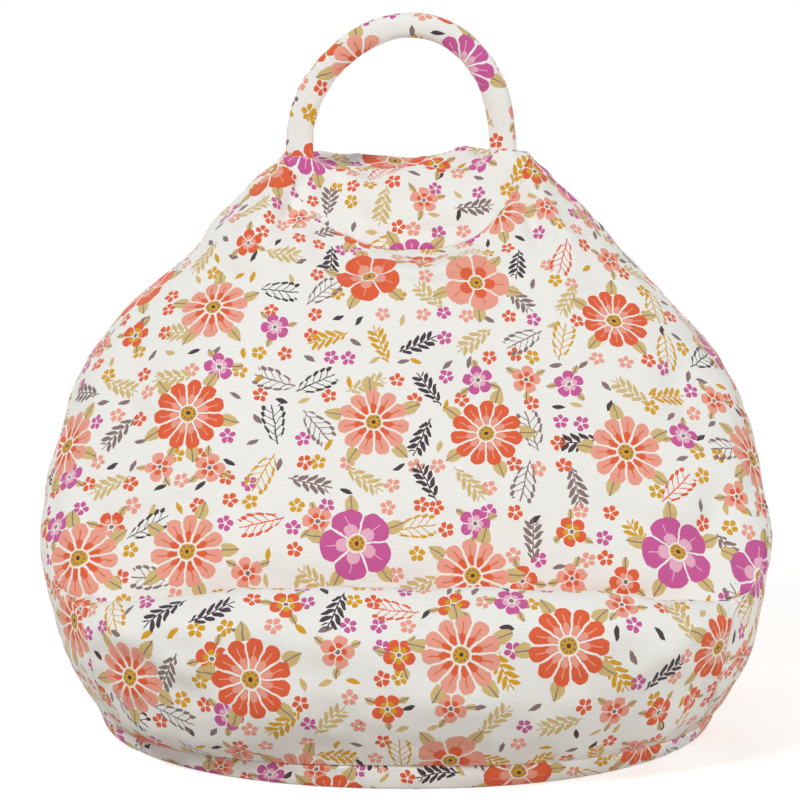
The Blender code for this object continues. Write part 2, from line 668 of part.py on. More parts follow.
# Distances from the zip's centre line
SPINE_INNER = ROW_GAP / 2 + TOOTH_LENGTH
SPINE_OUTER = SPINE_INNER + SPINE_WIDTH
SLIDER_HALF = SPINE_OUTER + FIT_GAP + SLIDER_WALL
TOOTH_COUNT = int(ZIP_LENGTH / TOOTH_PITCH)
TEETH_END = TOOTH_COUNT * TOOTH_PITCH / 2
SLIDER_REST = -TEETH_END + SLIDER_LENGTH / 2
SLIDER_TRAVEL = 2 * TEETH_END - SLIDER_LENGTH
PULL_AXIS = SLIDER_OUTER + FIT_GAP + PULL_WALL / 2


def on_zip(along: float, up: float, out: float) -> Vector:
    """Place on the zip: along it, above its centre line, and out from the back's face."""
    return Vector((along, BACK_REACH + out, ZIP_HEIGHT + up))


def zip_box(along, up, out) -> bmesh.types.BMesh:
    """A box on the zip, from its ranges along, up and out."""
    low, high = on_zip(min(along), min(up), min(out)), on_zip(max(along), max(up), max(out))
    return box_mesh(low, high)


def tooth_comb(side: int) -> bmesh.types.BMesh:
    """One row of teeth on its spine, above (1) or below (-1) the centre line."""
    inner, spine, outer = ROW_GAP / 2, SPINE_INNER, SPINE_OUTER
    outline = [(-TEETH_END, outer), (-TEETH_END, spine)]
    for i in range(TOOTH_COUNT):
        left = -TEETH_END + i * TOOTH_PITCH + (TOOTH_PITCH - TOOTH_WIDTH) / 2
        right = left + TOOTH_WIDTH
        outline += [(left, spine), (left, inner), (right, inner), (right, spine)]
    outline += [(TEETH_END, spine), (TEETH_END, outer)]
    return extruded(outline, TEETH_INNER, TEETH_OUTER, lambda x, up, out: on_zip(x, side * up, out))


def slider_section() -> list[tuple[float, float]]:
    """Section of the slider across the zip: two plates on a web, with lips that reach round the rows."""
    half, wall, web = SLIDER_HALF, SLIDER_WALL, ROW_GAP / 2 - FIT_GAP
    inside, outside = SLIDER_INNER + wall, SLIDER_OUTER - wall
    lip_inside, lip_outside = TAPE_INNER - FIT_GAP, TAPE_OUTER + FIT_GAP
    upper = [
        (half, SLIDER_INNER), (half, lip_inside), (half - wall, lip_inside), (half - wall, inside),
        (web, inside), (web, outside),
        (half - wall, outside), (half - wall, lip_outside), (half, lip_outside), (half, SLIDER_OUTER),
    ]
    return upper + [(-up, out) for up, out in reversed(upper)]


def lug_section() -> list[tuple[float, float]]:
    """Section of the slider's lug along the zip: a bridge that the pull's bar lies under."""
    half, wall = LUG_LENGTH / 2, LUG_WALL
    top = PULL_AXIS + PULL_WALL / 2 + FIT_GAP
    foot = SLIDER_OUTER - SLIDER_WALL / 2
    return [
        (-half, foot), (half, foot), (half, top),
        (half - wall, top + wall), (wall - half, top + wall), (-half, top),
    ]


def make_slider(metal) -> None:
    """The slider with its lug, and the pull that swings on the lug."""
    ends = SLIDER_REST - SLIDER_LENGTH / 2, SLIDER_REST + SLIDER_LENGTH / 2
    body = extruded(slider_section(), *ends, lambda up, out, x: on_zip(x, up, out))
    axis = on_zip(SLIDER_REST, 0, PULL_AXIS)
    slider = new_object("zip_slider", body, metal, axis)
    lug = extruded(
        lug_section(), -LUG_WIDTH / 2, LUG_WIDTH / 2, lambda x, out, up: on_zip(SLIDER_REST + x, up, out)
    )
    eye_half = LUG_LENGTH / 2 - LUG_WALL
    eye = zip_box(
        (SLIDER_REST - eye_half, SLIDER_REST + eye_half), (-LUG_WIDTH, LUG_WIDTH),
        (SLIDER_OUTER, PULL_AXIS + PULL_WALL / 2 + FIT_GAP),
    )
    combine(slider, new_object("lug", lug, metal), "UNION")
    combine(slider, new_object("lug_eye", eye, metal))
    bar = PULL_WALL / 2
    half = PULL_WIDTH / 2
    shoulder = PULL_LENGTH - PULL_NOSE
    outline = [
        (-bar, -half), (shoulder, -half), (PULL_LENGTH, PULL_NOSE - half),
        (PULL_LENGTH, half - PULL_NOSE), (shoulder, half), (-bar, half),
    ]
    plate = extruded(
        outline, PULL_AXIS - bar, PULL_AXIS + bar, lambda x, up, out: on_zip(SLIDER_REST + x, up, out)
    )
    pull = new_object("zip_pull", plate, metal, axis)
    window_half = LUG_WIDTH / 2 + FIT_GAP
    window_far = LUG_LENGTH / 2 + 3 * FIT_GAP
    window = zip_box(
        (SLIDER_REST + bar, SLIDER_REST + window_far), (-window_half, window_half),
        (PULL_AXIS - PULL_WALL, PULL_AXIS + PULL_WALL),
    )
    combine(pull, new_object("pull_window", window, metal))


def make_zip(back, tape, plastic, metal) -> None:
    """The zip across the foot of the back: its slot, tapes, rows of teeth, end stops, slider and pull."""
    slot_end = TEETH_END + FIT_GAP + 2 * STOP_LENGTH
    half_slot = ZIP_SLOT_WIDTH / 2
    slot = zip_box((-slot_end, slot_end), (-half_slot, half_slot), (-SLOT_DEPTH, SLOT_DEPTH))
    combine(back, new_object("zip_slot", slot, tape))
    tape_end = slot_end + STOP_LENGTH
    near = SPINE_OUTER + FIT_GAP
    for name, side in (("lower", -1), ("upper", 1)):
        across = (side * near, side * (near + TAPE_WIDTH))
        ribbon = zip_box((-tape_end, tape_end), across, (TAPE_INNER, TAPE_OUTER))
        new_object(f"zip_tape_{name}", ribbon, tape)
        new_object(f"zip_teeth_{name}", tooth_comb(side), plastic)
    for name, side in (("left", -1), ("right", 1)):
        along = (side * (TEETH_END + FIT_GAP), side * (TEETH_END + FIT_GAP + STOP_LENGTH))
        stop = zip_box(along, (-SPINE_OUTER, SPINE_OUTER), (TEETH_INNER, TEETH_OUTER))
        new_object(f"zip_stop_{name}", stop, metal)
    make_slider(metal)


def main() -> None:
    """Builds every piece of the cushion."""
    for obj in list(bpy.data.objects):
        bpy.data.objects.remove(obj, do_unlink=True)
    cotton = make_material("printed_cotton", COTTON_WHITE, 0.85)
    lining = make_material("lining_cloth", LINER_WHITE, 0.9)
    surface = cover_surface()
    panels = {name: new_object(name, cut_panel(surface, i), cotton) for i, name in enumerate(PANELS)}
    surface.free()
    make_bead_chamber(lining, make_material("foam_beads", BEAD_WHITE, 0.8))
    make_roll_filling(lining, make_material("fibre_wadding", WADDING_WHITE, 0.95))
    make_handle(cotton, make_material("cotton_webbing", LINER_WHITE, 0.9))
    make_zip(
        panels["back_panel"],
        make_material("zip_tape", ZIP_CREAM, 0.85),
        make_material("zip_plastic", ZIP_CREAM, 0.45),
        make_material("zip_metal", ZIP_METAL, 0.35, 1.0),
    )


main()
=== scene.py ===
"""Tablet cushion: the looks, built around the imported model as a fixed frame.

Lengths are metres in the frame's own axes, +X to the right, +Y to the back and +Z up, and millimetres where a
name says so. The cover is laid out as seven panels on one skin, filled out as cloth under pressure, and then
parted again at its seams.
"""

import logging
import math
from dataclasses import dataclass
from enum import Enum
from typing import ClassVar, Sequence

import bmesh
import bpy
import numpy as np
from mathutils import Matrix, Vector, kdtree, noise


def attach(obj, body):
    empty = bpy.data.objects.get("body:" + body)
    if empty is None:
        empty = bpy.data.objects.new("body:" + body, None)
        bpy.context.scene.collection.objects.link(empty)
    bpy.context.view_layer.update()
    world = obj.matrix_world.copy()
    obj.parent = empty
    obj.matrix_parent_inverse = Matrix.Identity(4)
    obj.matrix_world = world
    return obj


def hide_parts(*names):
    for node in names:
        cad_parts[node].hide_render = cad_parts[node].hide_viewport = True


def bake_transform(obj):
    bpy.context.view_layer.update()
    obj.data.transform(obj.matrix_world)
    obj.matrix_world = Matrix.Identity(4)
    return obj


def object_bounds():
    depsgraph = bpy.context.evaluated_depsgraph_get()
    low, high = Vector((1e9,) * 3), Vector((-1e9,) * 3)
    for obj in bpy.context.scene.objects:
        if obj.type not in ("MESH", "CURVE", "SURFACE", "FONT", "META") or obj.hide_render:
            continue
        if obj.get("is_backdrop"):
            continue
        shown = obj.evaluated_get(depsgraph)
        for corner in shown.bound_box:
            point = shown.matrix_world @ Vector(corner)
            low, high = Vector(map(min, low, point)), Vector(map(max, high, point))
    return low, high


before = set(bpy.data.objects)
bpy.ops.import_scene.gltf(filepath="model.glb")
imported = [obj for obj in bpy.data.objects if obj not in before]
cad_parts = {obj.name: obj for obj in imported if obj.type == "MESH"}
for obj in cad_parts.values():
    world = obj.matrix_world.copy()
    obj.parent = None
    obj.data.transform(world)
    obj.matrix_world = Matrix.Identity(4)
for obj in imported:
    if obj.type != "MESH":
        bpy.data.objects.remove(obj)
CAD_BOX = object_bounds()
LOG = logging.getLogger("tablet_cushion")
MM = 0.001

Point = tuple[float, float, float]
Socket = bpy.types.NodeSocket
Material = bpy.types.Material
Object = bpy.types.Object
Mesh = bmesh.types.BMesh
Vert = bmesh.types.BMVert
Array = np.ndarray

WELD = 0.01 * MM  # points closer than this become one

# Settings of a mix of two colours, and of one that tones the first by the second
MIXED = {"out": 2, "data_type": "RGBA"}
TONED = {**MIXED, "blend_type": "MULTIPLY"}


class Body(Enum):
    """The bodies of the frame that the pieces ride on."""

    CUSHION = "cushion"
    HANDLE = "handle"
    RUNNER = "zip_runner"
    PULLER = "zip_puller"


class Curve:
    """A smooth curve through (key, value) points that never overshoots between them."""

    def __init__(self, points: Sequence[tuple[float, float]]) -> None:
        """Works out the curve's slopes.

        Args:
            points: Keys in rising order, with their values.
        """
        self.keys, self.values = np.array(points, float).T
        steps = np.diff(self.keys)
        slopes = np.diff(self.values) / steps
        self.tangents = np.zeros(len(self.keys))
        self.tangents[0], self.tangents[-1] = slopes[0], slopes[-1]
        for i in range(1, len(self.keys) - 1):
            if slopes[i - 1] * slopes[i] > 0:
                before, after = 2 * steps[i] + steps[i - 1], steps[i] + 2 * steps[i - 1]
                self.tangents[i] = (before + after) / (before / slopes[i - 1] + after / slopes[i])

    def at(self, places: Array | float) -> Array:
        """Values of the curve.

        Args:
            places: Keys to read it at, held within its ends.

        Returns:
            One value for each key.
        """
        places = np.clip(places, self.keys[0], self.keys[-1])
        i = np.clip(np.searchsorted(self.keys, places, side="right") - 1, 0, len(self.keys) - 2)
        step = self.keys[i + 1] - self.keys[i]
        t = (places - self.keys[i]) / step
        start, end = self.values[i], self.values[i + 1]
        rise = step * (t * (1 - t) ** 2 * self.tangents[i] - t * t * (1 - t) * self.tangents[i + 1])
        return start + (end - start) * t * t * (3 - 2 * t) + rise


@dataclass(frozen=True)
class Station:
    """One lofting row of the cover.

    front is the depth and height of its front point, side and back are the heights of its side and back, and
    the powers give its plan form. hold says how far across the front the front height is held.
    """

    front: tuple[float, float]
    side: float
    back: float
    front_power: float
    hold: float
    back_power: float


@dataclass(frozen=True)
class CoverForm:
    """Outline of the filled cover, in the finished cushion's sizes."""

    front_reach: float = 0.112
    foot_set_back: float = 0.002
    shoulder_set_back: float = 0.003
    back_reach: float = 0.1095
    base_front: float = 0.104
    base_back: float = 0.101
    base_half_width: float = 0.117
    base_seam: float = 0.0085
    base_seam_drop: float = 0.0035
    base_flat: float = 0.965
    belly_height: float = 0.038
    shoulder_height: float = 0.058
    zip_height: float = 0.031
    zip_band: float = 0.009
    ledge_y: float = -0.0705
    ledge_height: float = 0.0565
    lip_rise: float = 0.0152
    lip_run: float = 0.0225
    lip_inside: tuple[float, float] = (0.4, 0.42)  # shares of the lip's run and rise, on the groove's side
    face_lean: float = math.radians(32.0)
    face_length: float = 0.122
    brow_rise: float = 0.012
    brow_run: float = 0.006
    top_height: float = 0.2085
    top_y: float = 0.036
    top_half_width: float = 0.0475
    half_width: float = 0.135
    yoke_front: tuple[float, float] = (0.014, 0.177)
    yoke_back: tuple[float, float] = (0.060, 0.2068)
    yoke_sink: float = 0.0035

    def level(self, share: float) -> float:
        """Height at a share of the height of the top."""
        return share * self.top_height

    def on_face(self, along: float) -> tuple[float, float]:
        """Depth and height a distance up the leaning face, from the groove."""
        back, up = math.sin(self.face_lean), math.cos(self.face_lean)
        return self.ledge_y + along * back, self.ledge_height + along * up

    def side_outline(self) -> list[tuple[float, float, float]]:
        """Outline of the cover as seen from the front.

        Returns:
            Height, half width and depth of the widest point, from the base seam to the top.
        """
        # Shares of the top's height, of the half width and of the top's depth
        shape = (
            (0.105, 0.919, 0.00), (0.182, 0.950, 0.05), (0.269, 0.978, 0.14), (0.360, 1.000, 0.25),
            (0.470, 0.978, 0.39), (0.595, 0.915, 0.56), (0.720, 0.793, 0.72), (0.825, 0.604, 0.86),
            (0.897, 0.500, 0.94), (0.969, 0.396, 1.00),
        )
        return [
            (self.base_seam - self.base_seam_drop, self.base_half_width, 0.0),
            *((self.level(up), out * self.half_width, back * self.top_y) for up, out, back in shape),
            (self.top_height, self.top_half_width, self.top_y),
        ]

    def back_outline(self) -> list[tuple[float, float]]:
        """Outline of the back on the centre line.

        Returns:
            Heights and reaches, from the base seam to the yoke's.
        """
        # Shares of the top's height and of the back's reach
        shape = ((0.345, 0.991), (0.499, 0.950), (0.671, 0.868), (0.825, 0.758), (0.940, 0.639))
        return [
            (self.base_seam, self.base_back),
            (self.zip_height - self.zip_band, self.back_reach),
            (self.zip_height + self.zip_band, self.back_reach),
            *((self.level(up), out * self.back_reach) for up, out in shape),
            self.yoke_back[::-1],
        ]

    def stations(self) -> list[Station]:
        """The lofting rows.

        Returns:
            One station for each row, from the base seam to the yoke's seam.
        """
        level = self.level
        low, high = self.zip_height - self.zip_band, self.zip_height + self.zip_band
        lip = (self.ledge_y - self.lip_run, self.ledge_height + self.lip_rise)
        run, rise = self.lip_inside
        inside = (self.ledge_y - run * self.lip_run, self.ledge_height + rise * self.lip_rise)
        foot = (self.foot_set_back - self.front_reach, low)
        shoulder = (self.shoulder_set_back - self.front_reach, self.shoulder_height)
        face_top = self.on_face(self.face_length)
        brow = (face_top[0] + self.brow_run, face_top[1] + self.brow_rise)
        side_seam = self.base_seam - self.base_seam_drop
        return [
            Station((-self.base_front, self.base_seam), side_seam, self.base_seam, 2.15, 2.0, 5.6),
            Station(foot, level(0.096), low, 2.5, 2.0, 7.0),
            Station((-self.front_reach, self.belly_height), level(0.153), high, 2.9, 2.0, 6.4),
            Station(shoulder, level(0.197), level(0.249), 3.2, 2.0, 5.8),
            Station(lip, level(0.230), level(0.297), 3.9, 1.5, 5.2),
            Station(inside, level(0.269), level(0.345), 4.8, 2.0, 4.7),
            Station((self.ledge_y, self.ledge_height), level(0.317), level(0.393), 5.0, 5.0, 4.2),
            Station(self.on_face(0.13 * self.face_length), level(0.388), level(0.456), 4.6, 4.0, 3.7),
            Station(self.on_face(0.50 * self.face_length), level(0.566), level(0.609), 3.5, 3.0, 3.1),
            Station(face_top, level(0.767), level(0.791), 2.9, 2.0, 2.6),
            Station(brow, level(0.911), level(0.911), 2.5, 3.0, 2.4),
            Station(self.yoke_front, self.top_height, self.yoke_back[1], 2.3, 3.0, 2.3),
        ]


LEDGE_ROW = 6.0  # the station on the groove's seam
TOP_ROW = 11.0
# Where the side seams lie at some stations, in degrees from the front
FRONT_SEAM = ((0, 62), (2, 56), (5, 52), (6, 57), (7, 74), (8, 86), (9, 92), (11, 80))
BACK_SEAM = ((0, 128), (6, 130), (9, 122), (11, 100))


class Loft:
    """The cover's skin as a function of a row and a turn round it."""

    SAMPLES = 361
    CROWDING = 2.5  # samples lie closer in a stretch's middle, where the skin runs fastest with the turn
    BACK_HOLD = 2.0

    def __init__(self, form: CoverForm) -> None:
        """Reads the outline's curves.

        Args:
            form: The cover's sizes.
        """
        stations = form.stations()
        rows = range(len(stations))
        outline = form.side_outline()
        self.form = form
        self.width = Curve([(h, w) for h, w, _ in outline])
        self.widest = Curve([(h, y) for h, _, y in outline])
        self.back = Curve(form.back_outline())
        self.front_y = Curve([(i, stations[i].front[0]) for i in rows])
        self.front_z = Curve([(i, stations[i].front[1]) for i in rows])
        self.named = {
            name: Curve([(i, getattr(stations[i], name)) for i in rows])
            for name in ("side", "back", "front_power", "hold", "back_power")
        }
        self.seams = {"front": Curve(FRONT_SEAM), "back": Curve(BACK_SEAM)}

    def skin(self, row: float, turns: Array) -> Array:
        """Points of the skin along one row.

        Args:
            row: Place among the stations.
            turns: Angles in radians from the front, towards +X.

        Returns:
            An array of points, one for each angle.
        """
        side, back = self.named["side"].at(row), self.named["back"].at(row)
        width, middle = self.width.at(side), self.widest.at(side)
        across, ahead = np.sin(turns), np.cos(turns)
        front = ahead > 0
        power = np.where(front, self.named["front_power"].at(row), self.named["back_power"].at(row))
        hold = np.where(front, self.named["hold"].at(row), self.BACK_HOLD)
        reach = np.where(front, self.front_y.at(row), self.back.at(back))
        end = np.where(front, self.front_z.at(row), back)
        x = np.sign(across) * np.abs(across) ** (2 / power) * width
        y = middle + (reach - middle) * np.abs(ahead) ** (2 / power)
        z = side + (end - side) * (1 - np.abs(across) ** hold)
        return np.stack([x, y, z], axis=-1)

    def stretch(self, row: float, start: float, end: float, shares: Array) -> Array:
        """Points along part of a row, placed by their share of its length.

        Args:
            row: Place among the stations.
            start: Angle the stretch starts at, in radians.
            end: Angle it ends at.
            shares: Shares of the stretch's length, from 0 to 1.

        Returns:
            An array of points, one for each share.
        """
        middle, half = (start + end) / 2, (end - start) / 2
        ease = np.linspace(-1, 1, self.SAMPLES)
        turns = middle + half * np.sign(ease) * np.abs(ease) ** self.CROWDING
        points = self.skin(row, turns)
        run = np.concatenate([[0], np.cumsum(np.linalg.norm(np.diff(points, axis=0), axis=1))])
        wanted = shares * run[-1]
        return np.stack([np.interp(wanted, run, points[:, k]) for k in range(3)], axis=-1)

    def seam(self, which: str, row: float) -> float:
        """Angle of a side seam at a row, in radians from the front."""
        return math.radians(float(self.seams[which].at(row)))


class PanelName(Enum):
    """The panels of the cover; each stands for the frame's node of the same name."""

    BASE = "base_panel"
    FRONT_ROLL = "front_roll_panel"
    BACKREST = "backrest_panel"
    YOKE = "yoke_panel"
    BACK = "back_panel"
    LEFT = "side_panel_left"
    RIGHT = "side_panel_right"


def patch_between(bottom: Array, top: Array, left: Array, right: Array) -> Array:
    """Fills four edges with a grid of points.

    Args:
        bottom: Points of the first edge.
        top: Points of the opposite edge, running the same way.
        left: Points from the bottom's start to the top's start.
        right: Points from the bottom's end to the top's end.

    Returns:
        The grid, with rows from bottom to top.
    """
    s = np.linspace(0, 1, len(bottom))[None, :, None]
    t = np.linspace(0, 1, len(left))[:, None, None]
    ruled = (1 - t) * bottom[None] + t * top[None] + (1 - s) * left[:, None] + s * right[:, None]
    corners = (
        (1 - s) * (1 - t) * bottom[0] + s * (1 - t) * bottom[-1] + (1 - s) * t * top[0] + s * t * top[-1]
    )
    return ruled - corners


def grid_mesh(bm: Mesh, points: Array) -> list[Vert]:
    """Adds a grid to a bmesh and moves it onto an array of points.

    Args:
        bm: The bmesh to add to.
        points: Places in rows and columns.

    Returns:
        The grid's vertices, row by row.
    """
    rows, columns = points.shape[:2]
    made = bmesh.ops.create_grid(bm, x_segments=columns - 1, y_segments=rows - 1, size=1.0)["verts"]
    for vert, place in zip(made, points.reshape(-1, 3)):
        vert.co = place
    return made


def place_mesh(name: str, bm: Mesh, material: Material | None = None) -> Object:
    """Turns a bmesh into an object at the origin, shaded smooth.

    Args:
        name: The object's name.
        bm: The bmesh, which is freed.
        material: What it is made of, if that is known yet.

    Returns:
        The new object.
    """
    mesh = bpy.data.meshes.new(name)
    bm.to_mesh(mesh)
    bm.free()
    mesh.shade_smooth()
    if material:
        mesh.materials.append(material)
    obj = bpy.data.objects.new(name, mesh)
    bpy.context.scene.collection.objects.link(obj)
    return obj


@dataclass(frozen=True)
class Seam:
    """How a panel's edge turns in where it is sewn to the next."""

    near: float = 0.30  # share of the first step at which the cloth starts to fall in
    drop: float = 0.5 * MM
    tuck: float = 2.2 * MM
    gap: float = 0.06 * MM
    tuck_off: float = 0.14 * MM

    def rows(self, edge: Array, inside: Array, normals: Array) -> list[Array]:
        """The rows that take the place of a sewn edge.

        Args:
            edge: Points along the edge.
            inside: Points of the next row in.
            normals: Outward normals along the edge.

        Returns:
            The tucked row, the edge and the row where the fall starts.
        """
        inward = inside - edge
        step = np.maximum(np.linalg.norm(inward, axis=-1, keepdims=True), 1e-9)
        inward = inward / step
        # Smoothing draws the lip in by a sixth of the way to the next row, so it starts that much further out
        meet = self.near * step / 6 - self.gap
        tucked = edge - normals * self.tuck + inward * self.tuck_off
        lip = edge - normals * self.drop - inward * meet
        return [tucked, lip, edge + (inside - edge) * self.near]

    def turn_in(self, points: Array, normals: Array, sides: str) -> Array:
        """Turns in the edges of a grid.

        Args:
            points: The grid.
            normals: Its outward normals.
            sides: Which edges are sewn: any of "b", "t", "l" and "r".

        Returns:
            The grid with two more rows or columns for each sewn edge.
        """
        for edge, axis in (("b", 0), ("t", 0), ("l", 1), ("r", 1)):
            if edge not in sides:
                continue
            points, normals = np.swapaxes(points, 0, axis), np.swapaxes(normals, 0, axis)
            if edge in "tr":
                points, normals = points[::-1], normals[::-1]
            made = self.rows(points[0], points[1], normals[0])
            points = np.concatenate([np.stack(made), points[1:]])
            normals = np.concatenate([np.repeat(normals[:1], 3, axis=0), normals[1:]])
            if edge in "tr":
                points, normals = points[::-1], normals[::-1]
            points, normals = np.swapaxes(points, 0, axis), np.swapaxes(normals, 0, axis)
        return points


@dataclass
class Piece:
    """Part of a panel: a grid on the skin, its sewn edges and the hole in it."""

    panel: PanelName
    points: Array
    sewn: str
    hole: tuple[int, int, int, int] | None = None  # its first and last row and column


def cut_pattern(points: Array) -> Array:
    """Lays a grid out flat by its own lengths, along the rows and up the middle column.

    Args:
        points: The grid.

    Returns:
        Places on the flat cloth, in metres.
    """
    across = np.linalg.norm(np.diff(points, axis=1), axis=-1)
    middle = points.shape[1] // 2
    u = np.concatenate([np.zeros((len(across), 1)), np.cumsum(across, axis=1)], axis=1)
    u -= u[:, middle : middle + 1]
    up = np.linalg.norm(np.diff(points[:, middle], axis=0), axis=-1)
    v = np.concatenate([[0], np.cumsum(up)])
    return np.stack([u, np.repeat(v[:, None], u.shape[1], axis=1)], axis=-1)


def sole_pattern(points: Array) -> Array:
    """Lays the base out flat: as it lies, with what curls up folded outwards.

    Args:
        points: A grid of the base.

    Returns:
        Places on the flat cloth, in metres.
    """
    flat = points[..., :2]
    reach = np.maximum(np.linalg.norm(flat, axis=-1, keepdims=True), 1e-6)
    return flat * (1 + points[..., 2:] / reach)


@dataclass
class Cover:
    """The printed cover of seven panels, filled out round the frame."""

    form: CoverForm
    row_step: float = 3.0 * MM
    front_columns: int = 88
    side_columns: int = 26
    back_columns: int = 68
    hem_shares: tuple[float, ...] = (1.0, 0.9985, 0.994, 0.986, 0.976, 0.965)
    cloth: float = 0.7 * MM
    slot_half_length: float = 0.0588
    slot_half_width: float = 0.0045
    slot_hem: float = 2.2 * MM
    fill: float = 0.85
    held_sole: float = 1.2 * MM
    held_by_slot: float = 5.0 * MM
    held_by_seam: float = 0.1 * MM
    behind: float = 0.9  # share of the back's reach beyond which a point lies beside the slot
    sole_fade: float = 6 * MM  # height over which the folds set in above the sole
    deepest: float = 3.0 * MM  # how far folds may reach in, clear of what fills the cover
    proudest: float = 8.0 * MM

    # Samples by which the skin is measured
    FINE_ROWS = 1101
    SLOT_ROWS = 401
    SLOT_BELOW = 4  # a station above the slot
    FINE_SHARES = 2001

    def slot_heights(self) -> tuple[float, float]:
        """Heights of the zip's slot's lower and upper edge."""
        return self.form.zip_height - self.slot_half_width, self.form.zip_height + self.slot_half_width

    def row_places(self, loft: Loft) -> list[float]:
        """Finds the rows of the wall's grid: even steps, with rows on the seams and the zip's slot.

        Args:
            loft: The skin.

        Returns:
            The rows' places among the stations.
        """
        fine = np.linspace(0, TOP_ROW, self.FINE_ROWS)
        turns = np.array([0.0, math.pi])
        ends = np.stack([loft.skin(row, turns) for row in fine])
        steps = np.linalg.norm(np.diff(ends, axis=0), axis=-1).max(axis=1)
        run = np.concatenate([[0], np.cumsum(steps)])
        heights = loft.named["back"].at(fine)
        marks = [0.0, *np.interp(self.slot_heights(), heights, fine), LEDGE_ROW, TOP_ROW]
        places = [0.0]
        for low, high in zip(marks, marks[1:]):
            length = np.interp([low, high], fine, run)
            count = max(2, round((length[1] - length[0]) / self.row_step))
            places += list(np.interp(np.linspace(*length, count + 1)[1:], run, fine))
        return places

    def slot_shares(self, loft: Loft) -> tuple[float, float]:
        """Finds where the zip's slot lies across the back.

        Args:
            loft: The skin.

        Returns:
            Shares of the back's width at which it starts and ends.
        """
        rows = np.linspace(0, self.SLOT_BELOW, self.SLOT_ROWS)
        row = float(np.interp(self.form.zip_height, loft.named["back"].at(rows), rows))
        back = loft.seam("back", row)
        shares = np.linspace(0, 1, self.FINE_SHARES)
        x = loft.stretch(row, back, 2 * math.pi - back, shares)[:, 0]
        low, high = np.interp([-self.slot_half_length, self.slot_half_length], x[::-1], shares[::-1])
        return float(high), float(low)

    def lay_out(self) -> list[Piece]:
        """Lays the seven panels out on the skin.

        Returns:
            The panels' pieces; the base has a hem and a sole.
        """
        loft = Loft(self.form)
        places = self.row_places(loft)
        first, last = self.slot_shares(loft)
        ends = round(self.back_columns * first)
        back_shares = np.concatenate([
            np.linspace(0, first, ends + 1)[:-1],
            np.linspace(first, last, self.back_columns - 2 * ends + 1)[:-1],
            np.linspace(last, 1, ends + 1),
        ])
        walls: dict[str, list[Array]] = {"front": [], "right": [], "back": [], "left": []}
        for row in places:
            front, back = loft.seam("front", row), loft.seam("back", row)
            spans = {
                "front": (-front, front, np.linspace(0, 1, self.front_columns + 1)),
                "right": (front, back, np.linspace(0, 1, self.side_columns + 1)),
                "back": (back, 2 * math.pi - back, back_shares),
                "left": (2 * math.pi - back, 2 * math.pi - front, np.linspace(0, 1, self.side_columns + 1)),
            }
            for name, span in spans.items():
                walls[name].append(loft.stretch(row, *span))
        wall = {name: np.stack(rows) for name, rows in walls.items()}
        ledge = places.index(LEDGE_ROW)
        heights = loft.named["back"].at(np.array(places))
        low, high = (int(np.argmin(np.abs(heights - z))) for z in self.slot_heights())
        slot = (low, high, ends, self.back_columns - ends)
        yoke = self.cap(self.rim(wall, -1))
        spread = np.abs(np.linspace(-1, 1, yoke.shape[1]))
        inner = 1 - np.maximum(spread[None, :], spread[:, None]) ** 2
        yoke[..., 2] -= inner * self.form.yoke_sink
        hem = np.stack([self.curled(self.rim(wall, 0), share) for share in self.hem_shares[::-1]])
        sole = self.cap(hem[0])[::-1]
        hem = np.concatenate([hem, hem[:, :1]], axis=1)
        return [
            Piece(PanelName.FRONT_ROLL, wall["front"][: ledge + 1], "btlr"),
            Piece(PanelName.BACKREST, wall["front"][ledge:], "btlr"),
            Piece(PanelName.RIGHT, wall["right"], "btlr"),
            Piece(PanelName.BACK, wall["back"], "btlr", slot),
            Piece(PanelName.LEFT, wall["left"], "btlr"),
            Piece(PanelName.YOKE, yoke, "btlr"),
            Piece(PanelName.BASE, hem, "t"),
            Piece(PanelName.BASE, sole, ""),
        ]

    def rim(self, wall: dict[str, Array], row: int) -> Array:
        """One closed row of the wall, starting at the left end of the front."""
        return np.concatenate([wall[name][row][:-1] for name in ("front", "right", "back", "left")])

    def curled(self, rim: Array, share: float) -> Array:
        """A ring of the base, which curls down from the seam to its flat sole."""
        climb = max(0.0, (share - self.form.base_flat) / (1 - self.form.base_flat))
        return rim * np.array([share, share, 1 - math.sqrt(1 - climb**2)])

    def cap(self, rim: Array) -> Array:
        """Fills a closed row with a grid.

        Args:
            rim: The row's points, starting at the left end of the front.

        Returns:
            The grid, its rows running from the front to the back.
        """
        side = len(rim) // 4
        ring = np.roll(rim, side // 2 - self.front_columns // 2, axis=0)
        ring = np.concatenate([ring, ring[:1]])
        front, right = ring[: side + 1], ring[side : 2 * side + 1]
        back, left = ring[2 * side : 3 * side + 1][::-1], ring[3 * side :][::-1]
        return patch_between(front, back, left, right)


def sewn_skin(pieces: Sequence[Piece]) -> Mesh:
    """Joins the pieces' grids into one closed skin.

    Args:
        pieces: All the cover's pieces.

    Returns:
        A new bmesh.
    """
    bm = bmesh.new()
    for piece in pieces:
        grid_mesh(bm, piece.points)
    bmesh.ops.remove_doubles(bm, verts=bm.verts, dist=WELD)
    bm.normal_update()
    return bm


